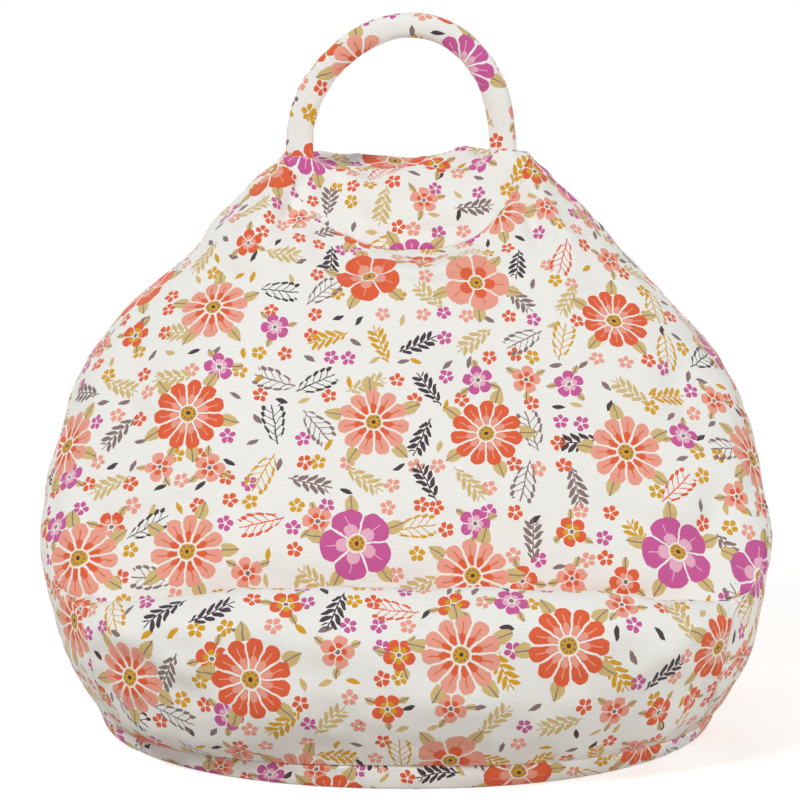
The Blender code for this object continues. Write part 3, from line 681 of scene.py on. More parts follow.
@dataclass(frozen=True)
class Filling:
    """How the filling swells the sewn skin, as cloth under pressure without gravity.

    The cloth is a little long for its seams, most of all beside them, so it bellies out between the seams and
    puckers along them.
    """

    frames: int = 20
    push: float = 40.0
    spare: float = 0.008  # share by which the panels are too long in their middles
    spare_by_seam: float = 0.034
    seam_reach: float = 22 * MM
    shrink: float = 0.8 * MM  # of the shape it starts from
    unevenness: float = 0.6 * MM
    lump: float = 11 * MM
    outward_limit: float = 5.5 * MM
    inward_limit: float = 1.4 * MM
    quality: int = 5
    mass: float = 0.3
    stretch_stiffness: float = 15.0
    shear_stiffness: float = 8.0
    bending_stiffness: float = 0.5
    least_weight: float = 0.001

    def swell(self, skin: Object, held: Array, away: Array) -> Array:
        """Simulates the skin and caps how far it moves.

        Args:
            skin: The closed skin, which is left as it was.
            held: For each point, whether it is held where it starts.
            away: How far each point is from the nearest seam.

        Returns:
            How far each point moves.
        """
        start, normals = mesh_points(skin), mesh_normals(skin)
        lumps = np.array([noise.noise(Vector(p) / self.lump) for p in start]) * self.unevenness
        offset = np.where(held, 0.0, lumps - self.shrink)
        set_points(skin, start + normals * offset[:, None])
        beside = np.clip(1 - away / self.seam_reach, 0, 1)
        for name, weights in (("held", held.astype(float)), ("beside_seam", beside)):
            group = skin.vertex_groups.new(name=name)
            for index in np.nonzero(weights > self.least_weight)[0]:
                group.add([int(index)], float(weights[index]), "REPLACE")
        cloth = skin.modifiers.new("filling", "CLOTH")
        settings = cloth.settings
        settings.quality = self.quality
        settings.mass = self.mass
        settings.tension_stiffness = self.stretch_stiffness
        settings.compression_stiffness = self.stretch_stiffness
        settings.shear_stiffness = self.shear_stiffness
        settings.bending_stiffness = self.bending_stiffness
        settings.use_pressure = True
        settings.uniform_pressure_force = self.push
        settings.vertex_group_mass = "held"
        settings.vertex_group_shrink = "beside_seam"
        settings.shrink_min = -self.spare
        settings.shrink_max = -self.spare_by_seam
        settings.effector_weights.gravity = 0.0
        cloth.collision_settings.use_collision = False
        cloth.collision_settings.use_self_collision = False
        cloth.point_cache.frame_start = 1
        cloth.point_cache.frame_end = self.frames
        scene = bpy.context.scene
        for number in range(1, self.frames + 1):
            scene.frame_set(number)
        moved = mesh_points(skin.evaluated_get(bpy.context.evaluated_depsgraph_get())) - start
        skin.modifiers.remove(cloth)
        set_points(skin, start)
        scene.frame_set(1)
        out = (moved * normals).sum(axis=1)
        limit = np.where(out > 0, self.outward_limit, self.inward_limit)
        return moved + normals * (limit * np.tanh(out / limit) - out)[:, None]


def mesh_points(obj: Object) -> Array:
    """Reads the places of a mesh's points.

    Args:
        obj: The mesh's object.

    Returns:
        An array of places, in metres.
    """
    found = np.zeros(len(obj.data.vertices) * 3, np.float32)
    obj.data.vertices.foreach_get("co", found)
    return found.reshape(-1, 3).astype(float)


def mesh_normals(obj: Object) -> Array:
    """The outward directions of a mesh's points, as an array."""
    return np.array([v.normal[:] for v in obj.data.vertices])


def set_points(obj: Object, points: Array) -> None:
    """Moves a mesh's points to an array of places."""
    obj.data.vertices.foreach_set("co", points.astype(np.float32).ravel())
    obj.data.update()


class Side(Enum):
    """The side of the cushion that a fold lies on."""

    FRONT = -1.0
    BACK = 1.0


@dataclass(frozen=True)
class Fold:
    """A ridge in the cloth, or a crease where its rise is below 0, on a bowed line from start to end.

    Its places are across and height, as seen from the front, and all its sizes are millimetres.
    """

    END_ROUNDNESS = 0.8  # power of the sine by which it dies out at its ends
    FACING_GAIN = 4.0  # how quickly it sets in where the skin starts to face its side
    FACING_LOSS = 0.4

    start: tuple[float, float]
    end: tuple[float, float]
    width: float
    rise: float
    bow: float = 0.0
    side: Side = Side.FRONT

    def lift(self, points: Array, normals: Array) -> Array:
        """How far the fold lifts each point off the skin.

        Args:
            points: The skin's points.
            normals: Their outward directions.

        Returns:
            One distance for each point.
        """
        start = np.array(self.start) * MM
        line = np.array(self.end) * MM - start
        length = np.linalg.norm(line)
        line /= length
        across = points[:, [0, 2]] - start
        along = across @ line / length
        off = across @ np.array([-line[1], line[0]]) - self.bow * MM * 4 * along * (1 - along)
        ends = np.sin(math.pi * np.clip(along, 0, 1)) ** self.END_ROUNDNESS
        facing = np.clip(normals[:, 1] * self.side.value * self.FACING_GAIN - self.FACING_LOSS, 0, 1)
        return self.rise * MM * np.exp(-((off / (self.width * MM)) ** 2)) * ends * facing


@dataclass(frozen=True)
class Pull:
    """A place where something draws the cloth out or in, such as a foot of the handle, in mm."""

    place: Point
    reach: float
    rise: float

    def lift(self, points: Array, normals: Array) -> Array:
        """How far the pull lifts each point; see Fold.lift."""
        away = np.linalg.norm(points - np.array(self.place) * MM, axis=1)
        return self.rise * MM * np.exp(-((away / (self.reach * MM)) ** 2))


@dataclass(frozen=True)
class Creases:
    """The folds that show in the cover, and the puckers along its seams."""

    pucker: float = 0.8 * MM
    pucker_length: float = 5.5 * MM
    pucker_reach: float = 7.0 * MM
    pucker_start: float = 0.3  # share of their reach over which the puckers set in beside a seam
    slump: float = 1.3 * MM  # soft unevenness all over, of two lengths
    slump_length: float = 30 * MM
    ruck: float = 0.45 * MM
    ruck_length: float = 11 * MM

    FOLDS: ClassVar[tuple[Fold | Pull, ...]] = (
        # The yoke: ridges from the feet, with hollows between them and by its seam
        Fold((38, 208), (-20, 188), 4.5, 6.0, -3),
        Fold((-40, 208), (-10, 186), 4.0, 4.0, 3),
        Pull((4, 52, 203), 12, -3.0),
        Pull((-26, 48, 203), 7, -2.8),
        Fold((-20, 179), (32, 185), 4.5, -4.5, -4),
        # Bulges under the yoke's seam
        Fold((-6, 168), (32, 174), 4.5, 4.5, -3),
        Fold((-68, 166), (-34, 178), 5.5, 4.2, 2),
        Fold((-36, 171), (-6, 167), 4.0, -3.5, 1),
        Pull((31, 10, 174), 5, -3.0),
        # Folds that run from the handle's feet down the shoulders
        Fold((-42, 207), (-70, 170), 4.0, 4.2, 3),
        Fold((43, 207), (68, 170), 4.0, 4.0, -3),
        Fold((40, 202), (52, 166), 4.0, -4.0, 2),
        Fold((-39, 201), (-50, 166), 4.0, -4.0, -2),
        Fold((-84, 166), (-52, 150), 7.0, -1.6, 3),
        Fold((60, 160), (92, 146), 7.0, -1.8, -3),
        # Soft dimples at the sides of the leaning face
        Fold((-114, 96), (-102, 60), 6.0, -3.0, -3),
        Fold((-122, 88), (-112, 56), 4.5, 2.0, -2),
        Fold((113, 100), (103, 62), 6.0, -3.0, 3),
        Fold((121, 84), (113, 58), 4.5, 1.8, 2),
        Fold((-108, 132), (-98, 104), 6.0, -2.0, 3),
        Fold((104, 140), (112, 112), 6.0, -2.0, -3),
        # Drags across the roll from its ends, and soft waves along it
        Fold((-116, 54), (-72, 41), 5.5, 2.0, 3),
        Fold((-112, 42), (-66, 30), 6.0, -2.0, 2),
        Fold((-108, 24), (-62, 14), 5.0, 1.8, -2),
        Fold((116, 52), (76, 40), 5.5, 2.0, -3),
        Fold((110, 38), (70, 26), 6.0, -2.0, -2),
        Fold((100, 20), (58, 12), 5.0, 1.6, 2),
        Fold((-60, 44), (-4, 50), 8.0, -1.8, -2),
        Fold((10, 46), (66, 50), 8.0, -1.6, 2),
        Fold((-44, 18), (30, 14), 7.0, -1.6, -3),
        Fold((-20, 32), (44, 28), 7.0, 1.4, 3),
        # The back: long drags from the feet and soft creases above the zip
        Fold((-40, 204), (-58, 140), 6.0, 2.2, 4, Side.BACK),
        Fold((38, 204), (52, 148), 6.0, 2.0, -3, Side.BACK),
        Fold((-30, 203), (26, 198), 4.5, -2.2, 1, Side.BACK),
        Fold((-16, 190), (-24, 132), 7.0, -1.6, 3, Side.BACK),
        Fold((-72, 50), (-8, 46), 5.0, -1.8, 2, Side.BACK),
        Fold((12, 47), (74, 53), 5.5, -1.6, 2, Side.BACK),
        Fold((-96, 108), (-84, 66), 6.0, -1.8, -3, Side.BACK),
        Fold((92, 116), (86, 70), 6.0, -1.8, 3, Side.BACK),
        # The handle's feet draw the cloth up, the right one most
        Pull((-39.5, 36, 207), 8.0, 5.0),
        Pull((37.0, 36, 207), 8.5, 8.0),
        # Beyond them the corners sink
        Pull((-48.0, 36, 208), 5.5, -2.4),
        Pull((48.0, 36, 208), 5.5, -2.0),
        # The right side, which is filled less at its shoulder and low down
        Pull((112, 26, 158), 26, -2.8),
        Pull((130, 2, 46), 22, -4.5),
        # The left side, a little fuller
        Pull((-122, 18, 130), 22, 1.8),
    )

    def lift(self, points: Array, normals: Array, away: Array) -> Array:
        """How far folds and puckers lift each point off the skin.

        Args:
            points: The skin's points.
            normals: Their outward directions.
            away: How far each point is from the nearest seam.

        Returns:
            One distance for each point.
        """
        total = sum(fold.lift(points, normals) for fold in self.FOLDS)
        setting_in = 1 - np.exp(-away / (self.pucker_start * self.pucker_reach))
        near = np.exp(-away / self.pucker_reach) * setting_in
        beyond = np.clip(away / self.pucker_reach, 0, 1)
        # The noise stays mostly within half a unit, so it is doubled
        for size, length, share in (
            (self.pucker * 2, self.pucker_length, near),
            (self.slump * 2, self.slump_length, beyond),
            (self.ruck * 2, self.ruck_length, beyond),
        ):
            wave = np.array([noise.noise(Vector(p) / length) for p in points])
            total = total + size * wave * share
        return total


class Skin:
    """The sewn skin of the whole cover, and where its points go as it is filled."""

    def __init__(self, pieces: Sequence[Piece]) -> None:
        """Sews the pieces together.

        Args:
            pieces: All the cover's pieces.
        """
        self.obj = place_mesh("sewn_skin", sewn_skin(pieces))
        self.start = mesh_points(self.obj)
        self.points = self.start.copy()
        self.normals = mesh_normals(self.obj)
        self.finder = self.tree_of(self.start)
        edges = []
        for piece in pieces:
            grid = piece.points
            sides = {"b": grid[0], "t": grid[-1], "l": grid[:, 0], "r": grid[:, -1]}
            edges += [sides[side] for side in piece.sewn]
        seams = self.tree_of(np.concatenate(edges))
        self.away = np.array([seams.find(p)[2] for p in self.start])

    @staticmethod
    def tree_of(points: Array) -> kdtree.KDTree:
        """Makes a finder of the nearest of some points.

        Args:
            points: The points.

        Returns:
            A balanced tree of them.
        """
        tree = kdtree.KDTree(len(points))
        for i, place in enumerate(points):
            tree.insert(place, i)
        tree.balance()
        return tree

    def move(self, step: Array) -> None:
        """Moves every point and renews the outward directions.

        Args:
            step: How far each point moves.
        """
        self.points = self.points + step
        set_points(self.obj, self.points)
        self.normals = mesh_normals(self.obj)

    def fitted(self, piece: Piece) -> tuple[Array, Array]:
        """Reads a piece's grid back off the moved skin.

        Args:
            piece: A piece that was sewn in.

        Returns:
            Its points and their outward directions, as grids.
        """
        shape = piece.points.shape
        index = [self.finder.find(p)[1] for p in piece.points.reshape(-1, 3)]
        return self.points[index].reshape(shape), self.normals[index].reshape(shape)

    def remove(self) -> None:
        """Deletes the skin once the panels have been read off it."""
        mesh = self.obj.data
        bpy.data.objects.remove(self.obj)
        bpy.data.meshes.remove(mesh)


@dataclass(frozen=True)
class Grain:
    """Where a panel was cut from the printed cloth: a shift in metres and a turn."""

    shift: tuple[float, float]
    turn: float

    def lay(self, flat: Array) -> Array:
        """Moves a flat pattern to its place on the cloth."""
        c, s = math.cos(self.turn), math.sin(self.turn)
        return flat @ np.array([[c, s], [-s, c]]) + np.array(self.shift)


GRAINS = {
    PanelName.FRONT_ROLL: Grain((0.31, 0.22), 0.0),
    PanelName.BACKREST: Grain((1.08, 0.47), 0.03),
    PanelName.RIGHT: Grain((0.74, 1.31), -0.22),
    PanelName.LEFT: Grain((1.93, 0.85), 0.22),
    PanelName.BACK: Grain((1.42, 1.77), 0.0),
    PanelName.YOKE: Grain((0.58, 1.12), 0.05),
    PanelName.BASE: Grain((2.21, 0.36), 0.4),
}


def lay_flat(obj: Object) -> None:
    """Unrolls a panel's cloth evenly, where its grid's own lengths would stretch the print one way.

    Args:
        obj: The panel, whose "cloth" map says roughly where it lies on the printed cloth.
    """
    layer = obj.data.uv_layers["cloth"]
    count = len(layer.uv)
    wanted, found = np.zeros(count * 2, np.float32), np.zeros(count * 2, np.float32)
    layer.uv.foreach_get("vector", wanted)
    bpy.context.view_layer.objects.active = obj
    obj.select_set(True)
    bpy.ops.object.mode_set(mode="EDIT")
    bpy.ops.mesh.select_all(action="SELECT")
    bpy.ops.uv.unwrap(method="ANGLE_BASED", margin=0.0)
    bpy.ops.object.mode_set(mode="OBJECT")
    obj.select_set(False)
    layer = obj.data.uv_layers["cloth"]
    layer.uv.foreach_get("vector", found)
    wanted = wanted[0::2].astype(float) + 1j * wanted[1::2]
    found = found[0::2].astype(float) + 1j * found[1::2]
    shape = found - found.mean()
    turn = (shape.conj() * (wanted - wanted.mean())).sum()
    real, flat = 0.0, 0.0
    for face in obj.data.polygons:
        corners = shape[face.loop_start : face.loop_start + face.loop_total]
        flat += abs((corners.conj() * np.roll(corners, -1)).imag.sum()) / 2
        real += face.area
    laid = wanted.mean() + shape * turn / abs(turn) * math.sqrt(real / flat)
    layer.uv.foreach_set("vector", np.stack([laid.real, laid.imag], axis=-1).astype(np.float32).ravel())


def finish_piece(obj: Object, body: Body | None, nodes: Sequence[str], slot: str) -> None:
    """Ties a piece to the body that it rides on and hides the nodes that it stands for.

    Args:
        obj: The piece.
        body: The body it rides on, or None to leave it unattached.
        nodes: The frame's nodes that it replaces.
        slot: Not used.
    """
    if body:
        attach(obj, body.value)
    if nodes:
        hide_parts(*nodes)


def thicken(obj: Object, thickness: float, levels: int = 1) -> None:
    """Gives a sheet its thickness on the inner side, and rounds it.

    Args:
        obj: The sheet.
        thickness: In metres.
        levels: How often it is subdivided.
    """
    shell = obj.modifiers.new("thickness", "SOLIDIFY")
    shell.thickness = thickness
    shell.offset = -1.0
    soften(obj, levels)


def soften(obj: Object, levels: int = 1) -> None:
    """Subdivides a piece's surface."""
    step = obj.modifiers.new("softened", "SUBSURF")
    step.levels = step.render_levels = levels


class CoverMaker:
    """Fills the sewn cover out and parts it into its finished panels."""

    def __init__(self, cover: Cover, filling: Filling, creases: Creases, seam: Seam) -> None:
        """Keeps what the cover is made by.

        Args:
            cover: Its panels' layout.
            filling: What swells it.
            creases: Its folds and puckers.
            seam: How its edges turn in.
        """
        self.cover = cover
        self.filling = filling
        self.creases = creases
        self.seam = seam

    def build(self, cotton: Material) -> None:
        """Makes the seven panels.

        Args:
            cotton: The printed cloth.
        """
        pieces = self.cover.lay_out()
        skin = Skin(pieces)
        LOG.info("cover: %d points on the sewn skin", len(skin.start))
        self.fill(skin)
        for name in PanelName:
            self.panel(name, skin, [piece for piece in pieces if piece.panel is name], cotton)
            LOG.info("cover: %s", name.value)
        skin.remove()

    def fill(self, skin: Skin) -> None:
        """Swells the skin and folds it, within the room that the frame leaves.

        Args:
            skin: The sewn skin.
        """
        cover = self.cover
        x, y, z = skin.start.T
        by_slot = np.abs(z - cover.form.zip_height) < cover.slot_half_width + cover.held_by_slot
        by_slot &= np.abs(x) < cover.slot_half_length + cover.held_by_slot
        by_slot &= y > cover.behind * cover.form.back_reach
        held = (skin.away < cover.held_by_seam) | (z < cover.held_sole) | by_slot
        start = skin.points
        out = skin.normals
        moved = np.zeros_like(start)
        moved = self.filling.swell(skin.obj, held, skin.away)
        moved[held] = 0.0
        LOG.info("cover: filled, up to %.1f mm out", (moved * out).sum(axis=1).max() / MM)
        free = np.clip((z - cover.held_sole) / cover.sole_fade, 0, 1) * np.where(by_slot, 0.0, 1.0)
        lift = self.creases.lift(start, out, skin.away) * free
        total = (moved * out).sum(axis=1) + lift
        capped = np.clip(total, -cover.deepest, cover.proudest)
        skin.move(moved + out * (lift + capped - total)[:, None])

    def panel(self, name: PanelName, skin: Skin, pieces: list[Piece], cotton: Material) -> None:
        """Makes one panel of the cover.

        Args:
            name: Which panel.
            skin: The filled skin.
            pieces: The panel's pieces.
            cotton: The printed cloth.
        """
        bm = bmesh.new()
        layer = bm.loops.layers.uv.new("cloth")
        places: dict[Vert, Array] = {}
        for piece in pieces:
            points, normals = skin.fitted(piece)
            grid = self.seam.turn_in(points, normals, piece.sewn)
            flat = sole_pattern(grid) if name is PanelName.BASE else cut_pattern(grid)
            verts = grid_mesh(bm, grid)
            flat = GRAINS[name].lay(flat)
            places.update(zip(verts, flat.reshape(-1, 2)))
            if piece.hole:
                self.cut_slot(bm, verts, grid.shape[1], piece.hole, places)
        for face in bm.faces:
            for loop in face.loops:
                loop[layer].uv = places[loop.vert]
        bmesh.ops.remove_doubles(bm, verts=bm.verts, dist=WELD)
        obj = place_mesh(name.value + "_cloth", bm, cotton)
        if name is not PanelName.BASE:
            lay_flat(obj)
        thicken(obj, self.cover.cloth)
        finish_piece(obj, Body.CUSHION, [name.value], "printed_cotton")

    def cut_slot(
        self,
        bm: Mesh,
        verts: Sequence[Vert],
        columns: int,
        hole: tuple[int, int, int, int],
        places: dict[Vert, Array],
    ) -> None:
        """Opens the zip's slot in the back and turns its edges in.

        Args:
            bm: The panel.
            verts: Its grid's vertices, row by row.
            columns: How many there are in a row.
            hole: The slot's first and last row and column, before the sewn edges got more of them.
            places: The vertices' places on the cloth, which the new ones are added to.
        """
        extra = 2  # for each sewn edge
        low, high, left, right = (place + extra for place in hole)
        inside = {verts[i * columns + j] for i in range(low, high + 1) for j in range(left, right + 1)}
        doomed = [face for face in bm.faces if all(vert in inside for vert in face.verts)]
        bmesh.ops.delete(bm, geom=doomed, context="FACES")
        rim = [edge for edge in bm.edges if edge.is_boundary and all(vert in inside for vert in edge.verts)]
        ends = {tuple(round(c, 7) for c in vert.co): places[vert] for edge in rim for vert in edge.verts}
        made = bmesh.ops.extrude_edge_only(bm, edges=rim)["geom"]
        fresh = [item for item in made if isinstance(item, Vert)]
        for vert in fresh:
            places[vert] = ends[tuple(round(c, 7) for c in vert.co)]
        bmesh.ops.translate(bm, vec=(0, -self.cover.slot_hem, 0), verts=fresh)


@dataclass(frozen=True)
class Wrinkle:
    """A slanting wrinkle round the handle's sleeve, in shares of its length and thickness."""

    place: float
    lean: float
    depth: float
    length: float


@dataclass(frozen=True)
class Handle:
    """The carry handle: a soft printed tube on a webbing core, standing up as an arch.

    It leans a little to the right, as a sewn tube does, and its feet spread where they are sewn in.
    """

    middle: float = -0.0021
    half_span: float = 0.0388
    depth_place: float = 0.036
    spring_z: float = 0.2109
    rise: float = 0.0461
    lean: float = 0.0040
    foot_z: float = 0.1985
    wide: float = 10.2 * MM
    deep: float = 7.4 * MM
    core_wide: float = 6.6 * MM
    core_deep: float = 3.2 * MM
    flare: float = 0.36
    flare_reach: float = 15.0 * MM
    flare_power: float = 1.6
    blend_low: float = 0.2070
    blend_high: float = 0.2190
    steps: int = 150
    sides: int = 36
    squareness: float = 0.86
    seam_depth: float = 0.10
    seam_width: float = 0.16  # radians
    cloth_shift: tuple[float, float] = (1.37, 0.64)  # where its cloth was cut, in metres
    fill: float = 0.7

    ARCH_SAMPLES = 721
    LEG_SAMPLES = 24
    # Height, waves round the tube and radians that they turn along it
    TWISTS = ((0.045, 2, 9), (0.03, 3, -23))
    WRINKLES = (
        Wrinkle(0.265, 0.034, 0.085, 0.017),
        Wrinkle(0.315, -0.024, 0.05, 0.015),
        Wrinkle(0.742, -0.036, 0.08, 0.016),
        Wrinkle(0.690, 0.022, 0.045, 0.015),
        Wrinkle(0.480, 0.018, 0.035, 0.020),
        Wrinkle(0.140, 0.028, 0.05, 0.016),
        Wrinkle(0.870, -0.026, 0.05, 0.016),
    )

    def path(self, steps: int) -> tuple[Array, Array]:
        """The tube's middle line and its outward directions, from the left foot to the right one.

        Args:
            steps: How many places to give.

        Returns:
            Points and unit directions.
        """
        turn = np.linspace(math.pi, 0, self.ARCH_SAMPLES)
        x = self.middle + self.half_span * np.cos(turn) + self.lean * np.sin(turn) ** 2
        z = self.spring_z + self.rise * np.sin(turn)
        legs = np.linspace(self.foot_z, self.spring_z, self.LEG_SAMPLES)[:-1]
        x = np.concatenate([np.full(len(legs), x[0]), x, np.full(len(legs), x[-1])])
        z = np.concatenate([legs, z, legs[::-1]])
        run = np.concatenate([[0], np.cumsum(np.hypot(np.diff(x), np.diff(z)))])
        wanted = np.linspace(0, run[-1], steps)
        x, z = np.interp(wanted, run, x), np.interp(wanted, run, z)
        along = np.stack([np.gradient(x), np.zeros(steps), np.gradient(z)], axis=-1)
        along /= np.linalg.norm(along, axis=1, keepdims=True)
        outward = np.stack([-along[:, 2], np.zeros(steps), along[:, 0]], axis=-1)
        return np.stack([x, np.full(steps, self.depth_place), z], axis=-1), outward

    def tube(self, wide: float, deep: float, soft: bool) -> Array:
        """Sections along the arch as a grid, its first column repeated as its last.

        Args:
            wide: Width in the arch's plane.
            deep: Depth across it.
            soft: Whether it has the sleeve's creases, twist, seam and spread feet.

        Returns:
            The grid, with a row for each section.
        """
        middle, outward = self.path(self.steps)
        turn = np.linspace(0, 2 * math.pi, self.sides + 1)
        share = np.linspace(0, 1, self.steps)[:, None]
        cosine, sine = np.cos(turn)[None], np.sin(turn)[None]
        u = np.sign(cosine) * np.abs(cosine) ** self.squareness * wide / 2
        v = np.sign(sine) * np.abs(sine) ** self.squareness * deep / 2
        size = np.ones((self.steps, self.sides + 1))
        if soft:
            size += sum(high * np.sin(waves * turn + slant * share) for high, waves, slant in self.TWISTS)
            for fold in self.WRINKLES:
                off = (share - fold.place - fold.lean * np.sin(turn)) / fold.length
                size -= fold.depth * np.exp(-(off**2))
            size -= self.seam_depth * np.exp(-(((turn - math.pi) / self.seam_width) ** 2))[None]
            near_foot = np.clip(1 - (middle[:, 2:] - self.foot_z) / self.flare_reach, 0, 1)
            size += self.flare * near_foot**self.flare_power
        u, v = u * size, v * size
        depthwise = np.array([0.0, 1.0, 0.0])
        return middle[:, None] + outward[:, None] * u[..., None] + depthwise * v[..., None]

    def build(self, cotton: Material, webbing: Material) -> None:
        """Makes the sleeve and the core.

        Args:
            cotton: The printed cloth.
            webbing: The core's material.
        """
        sleeve = self.tube(self.wide, self.deep, True)
        core = self.tube(self.core_wide, self.core_deep, False)
        for name, grid, material, node, slot in (
            ("handle_cloth", sleeve, cotton, "handle_sleeve", "printed_cotton"),
            ("handle_webbing", core, webbing, "handle_core", "cotton_webbing"),
        ):
            obj = self.closed_tube(name, grid, material)
            soften(obj)
            finish_piece(obj, None, [node], slot)
            low, high = ((0.0, self.depth_place, z) for z in (self.blend_low, self.blend_high))
            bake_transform(obj)
            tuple(low)
            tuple(high)
            LOG.info("handle: %s", name)

    def closed_tube(self, name: str, grid: Array, material: Material) -> Object:
        """Turns a tube's grid into a closed piece with its cloth laid round it.

        Args:
            name: The piece's name.
            grid: The tube's sections.
            material: What it is made of.

        Returns:
            The new piece.
        """
        bm = bmesh.new()
        layer = bm.loops.layers.uv.new("cloth")
        verts = grid_mesh(bm, grid)
        flat = dict(zip(verts, (cut_pattern(grid) + np.array(self.cloth_shift)).reshape(-1, 2)))
        for face in bm.faces:
            for loop in face.loops:
                loop[layer].uv = flat[loop.vert]
        bmesh.ops.remove_doubles(bm, verts=bm.verts, dist=WELD)
        bmesh.ops.holes_fill(bm, edges=[edge for edge in bm.edges if edge.is_boundary])
        bmesh.ops.recalc_face_normals(bm, faces=bm.faces)
        return place_mesh(name, bm, material)


def merged_copy(node: str, tidy: float = math.radians(2)) -> Mesh:
    """A node's mesh with its loose triangles merged and its flat faces made whole.

    Args:
        node: The frame's node.
        tidy: Faces that turn less than this are joined.

    Returns:
        A new bmesh.
    """
    bm = bmesh.new()
    bm.from_mesh(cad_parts[node].data)
    bmesh.ops.remove_doubles(bm, verts=bm.verts, dist=0.001 * MM)
    if tidy:
        bmesh.ops.dissolve_limit(bm, angle_limit=tidy, verts=bm.verts, edges=bm.edges)
    return bm


@dataclass(frozen=True)
class Insides:
    """What the cover holds: the bead bag, the beads, the roll's wadding and the baffle."""

    bead_bag_fill: float = 0.8
    wadding_fill: float = 0.9
    beads_fill: float = 0.8

    def build(self, lining: Material, beads: Material, wadding: Material) -> None:
        """Dresses the four pieces.

        Args:
            lining: Cloth of the bag and the baffle.
            beads: The foam beads.
            wadding: The roll's fibre.
        """
        for node, material, slot, fill in (
            ("bead_liner", lining, "lining_cloth", self.bead_bag_fill),
            ("bead_fill", beads, "foam_beads", self.beads_fill),
            ("roll_wadding", wadding, "fibre_wadding", self.wadding_fill),
        ):
            obj = place_mesh(node + "_soft", merged_copy(node, 0.0), material)
            finish_piece(obj, Body.CUSHION, [node], slot)
            LOG.info("insides: %s", node)
        self.baffle(lining)

    def baffle(self, lining: Material) -> None:
        """Makes the upright sheet that holds the groove's seam down.

        Args:
            lining: Its cloth.
        """
        bm = merged_copy("ledge_baffle")
        bm.faces.ensure_lookup_table()
        area = max(face.calc_area() for face in bm.faces)
        obj = place_mesh("ledge_baffle_cloth", bm, lining)
        finish_piece(obj, Body.CUSHION, ["ledge_baffle"], "lining_cloth")
        LOG.info("insides: ledge_baffle")


@dataclass(frozen=True)
class Zip:
    """The zip across the foot of the back, with the stitching that holds it."""

    edge_radius: float = 0.12 * MM
    edge_segments: int = 2
    sharp: float = math.radians(40)  # faces that turn less than this are shaded as one
    stitch: float = 2.2 * MM
    stitch_pitch: float = 3.0 * MM
    stitch_thickness: float = 0.42 * MM
    stitch_away: float = 1.9 * MM
    stitch_rise: float = 0.1 * MM

    def build(self, finishes: dict[str, Material], cover: Cover) -> None:
        """Dresses the zip's nodes and sews it in.

        Args:
            finishes: Materials by the record's slots.
            cover: The cover, which says where the slot is.
        """
        for node, body, slot in (
            ("zip_tape_lower", Body.CUSHION, "zip_tape"),
            ("zip_tape_upper", Body.CUSHION, "zip_tape"),
            ("zip_teeth_lower", Body.CUSHION, "zip_plastic"),
            ("zip_teeth_upper", Body.CUSHION, "zip_plastic"),
            ("zip_stop_left", Body.CUSHION, "zip_metal"),
            ("zip_stop_right", Body.CUSHION, "zip_metal"),
            ("zip_slider", Body.RUNNER, "zip_metal"),
            ("zip_pull", Body.PULLER, "zip_metal"),
        ):
            obj = place_mesh(node + "_fine", merged_copy(node), finishes[slot])
            rounded = obj.modifiers.new("edges", "BEVEL")
            rounded.width = self.edge_radius
            rounded.segments = self.edge_segments
            rounded.limit_method = "ANGLE"
            obj.data.set_sharp_from_angle(angle=self.sharp)
            finish_piece(obj, body, [node], slot)
            LOG.info("zip: %s", node)
        self.stitching(finishes["zip_tape"], cover)

    def stitching(self, thread: Material, cover: Cover) -> None:
        """Sews a row of stitches round the slot.

        Args:
            thread: The stitches' material.
            cover: The cover, which says where the slot is.
        """
        half_x = cover.slot_half_length + self.stitch_away
        half_z = cover.slot_half_width + self.stitch_away
        middle = Vector((0, cover.form.back_reach, cover.form.zip_height))
        radius = self.stitch_thickness / 2
        bm = bmesh.new()
        for along, half_along, half_across in (
            (Vector((1, 0, 0)), half_x, half_z),
            (Vector((0, 0, 1)), half_z, half_x),
        ):
            across = Vector((0, 0, 1)) if along.x else Vector((1, 0, 0))
            count = max(1, round(2 * half_along / self.stitch_pitch))
            for i in range(count):
                place = (i + 0.5) / count * 2 - 1
                for side in (-1, 1):
                    made = bmesh.ops.create_icosphere(bm, subdivisions=1, radius=radius)["verts"]
                    longer = Vector((1, 1, 1)) + along * (self.stitch / self.stitch_thickness - 1)
                    bmesh.ops.scale(bm, vec=longer, verts=made)
                    spot = middle + along * place * half_along + across * side * half_across
                    bmesh.ops.translate(bm, vec=spot + Vector((0, self.stitch_rise, 0)), verts=made)
        obj = place_mesh("zip_stitches", bm, thread)
        finish_piece(obj, Body.CUSHION, [], "zip_tape")


def linear(hex_colour: str) -> tuple[float, float, float, float]:
    """Turns an sRGB hex colour into the linear one that nodes take.

    Args:
        hex_colour: Six hex digits, red first.

    Returns:
        Red, green, blue and alpha.
    """
    parts = [int(hex_colour[i : i + 2], 16) / 255 for i in (0, 2, 4)]
    return (*(c / 12.92 if c <= 0.04045 else ((c + 0.055) / 1.055) ** 2.4 for c in parts), 1.0)


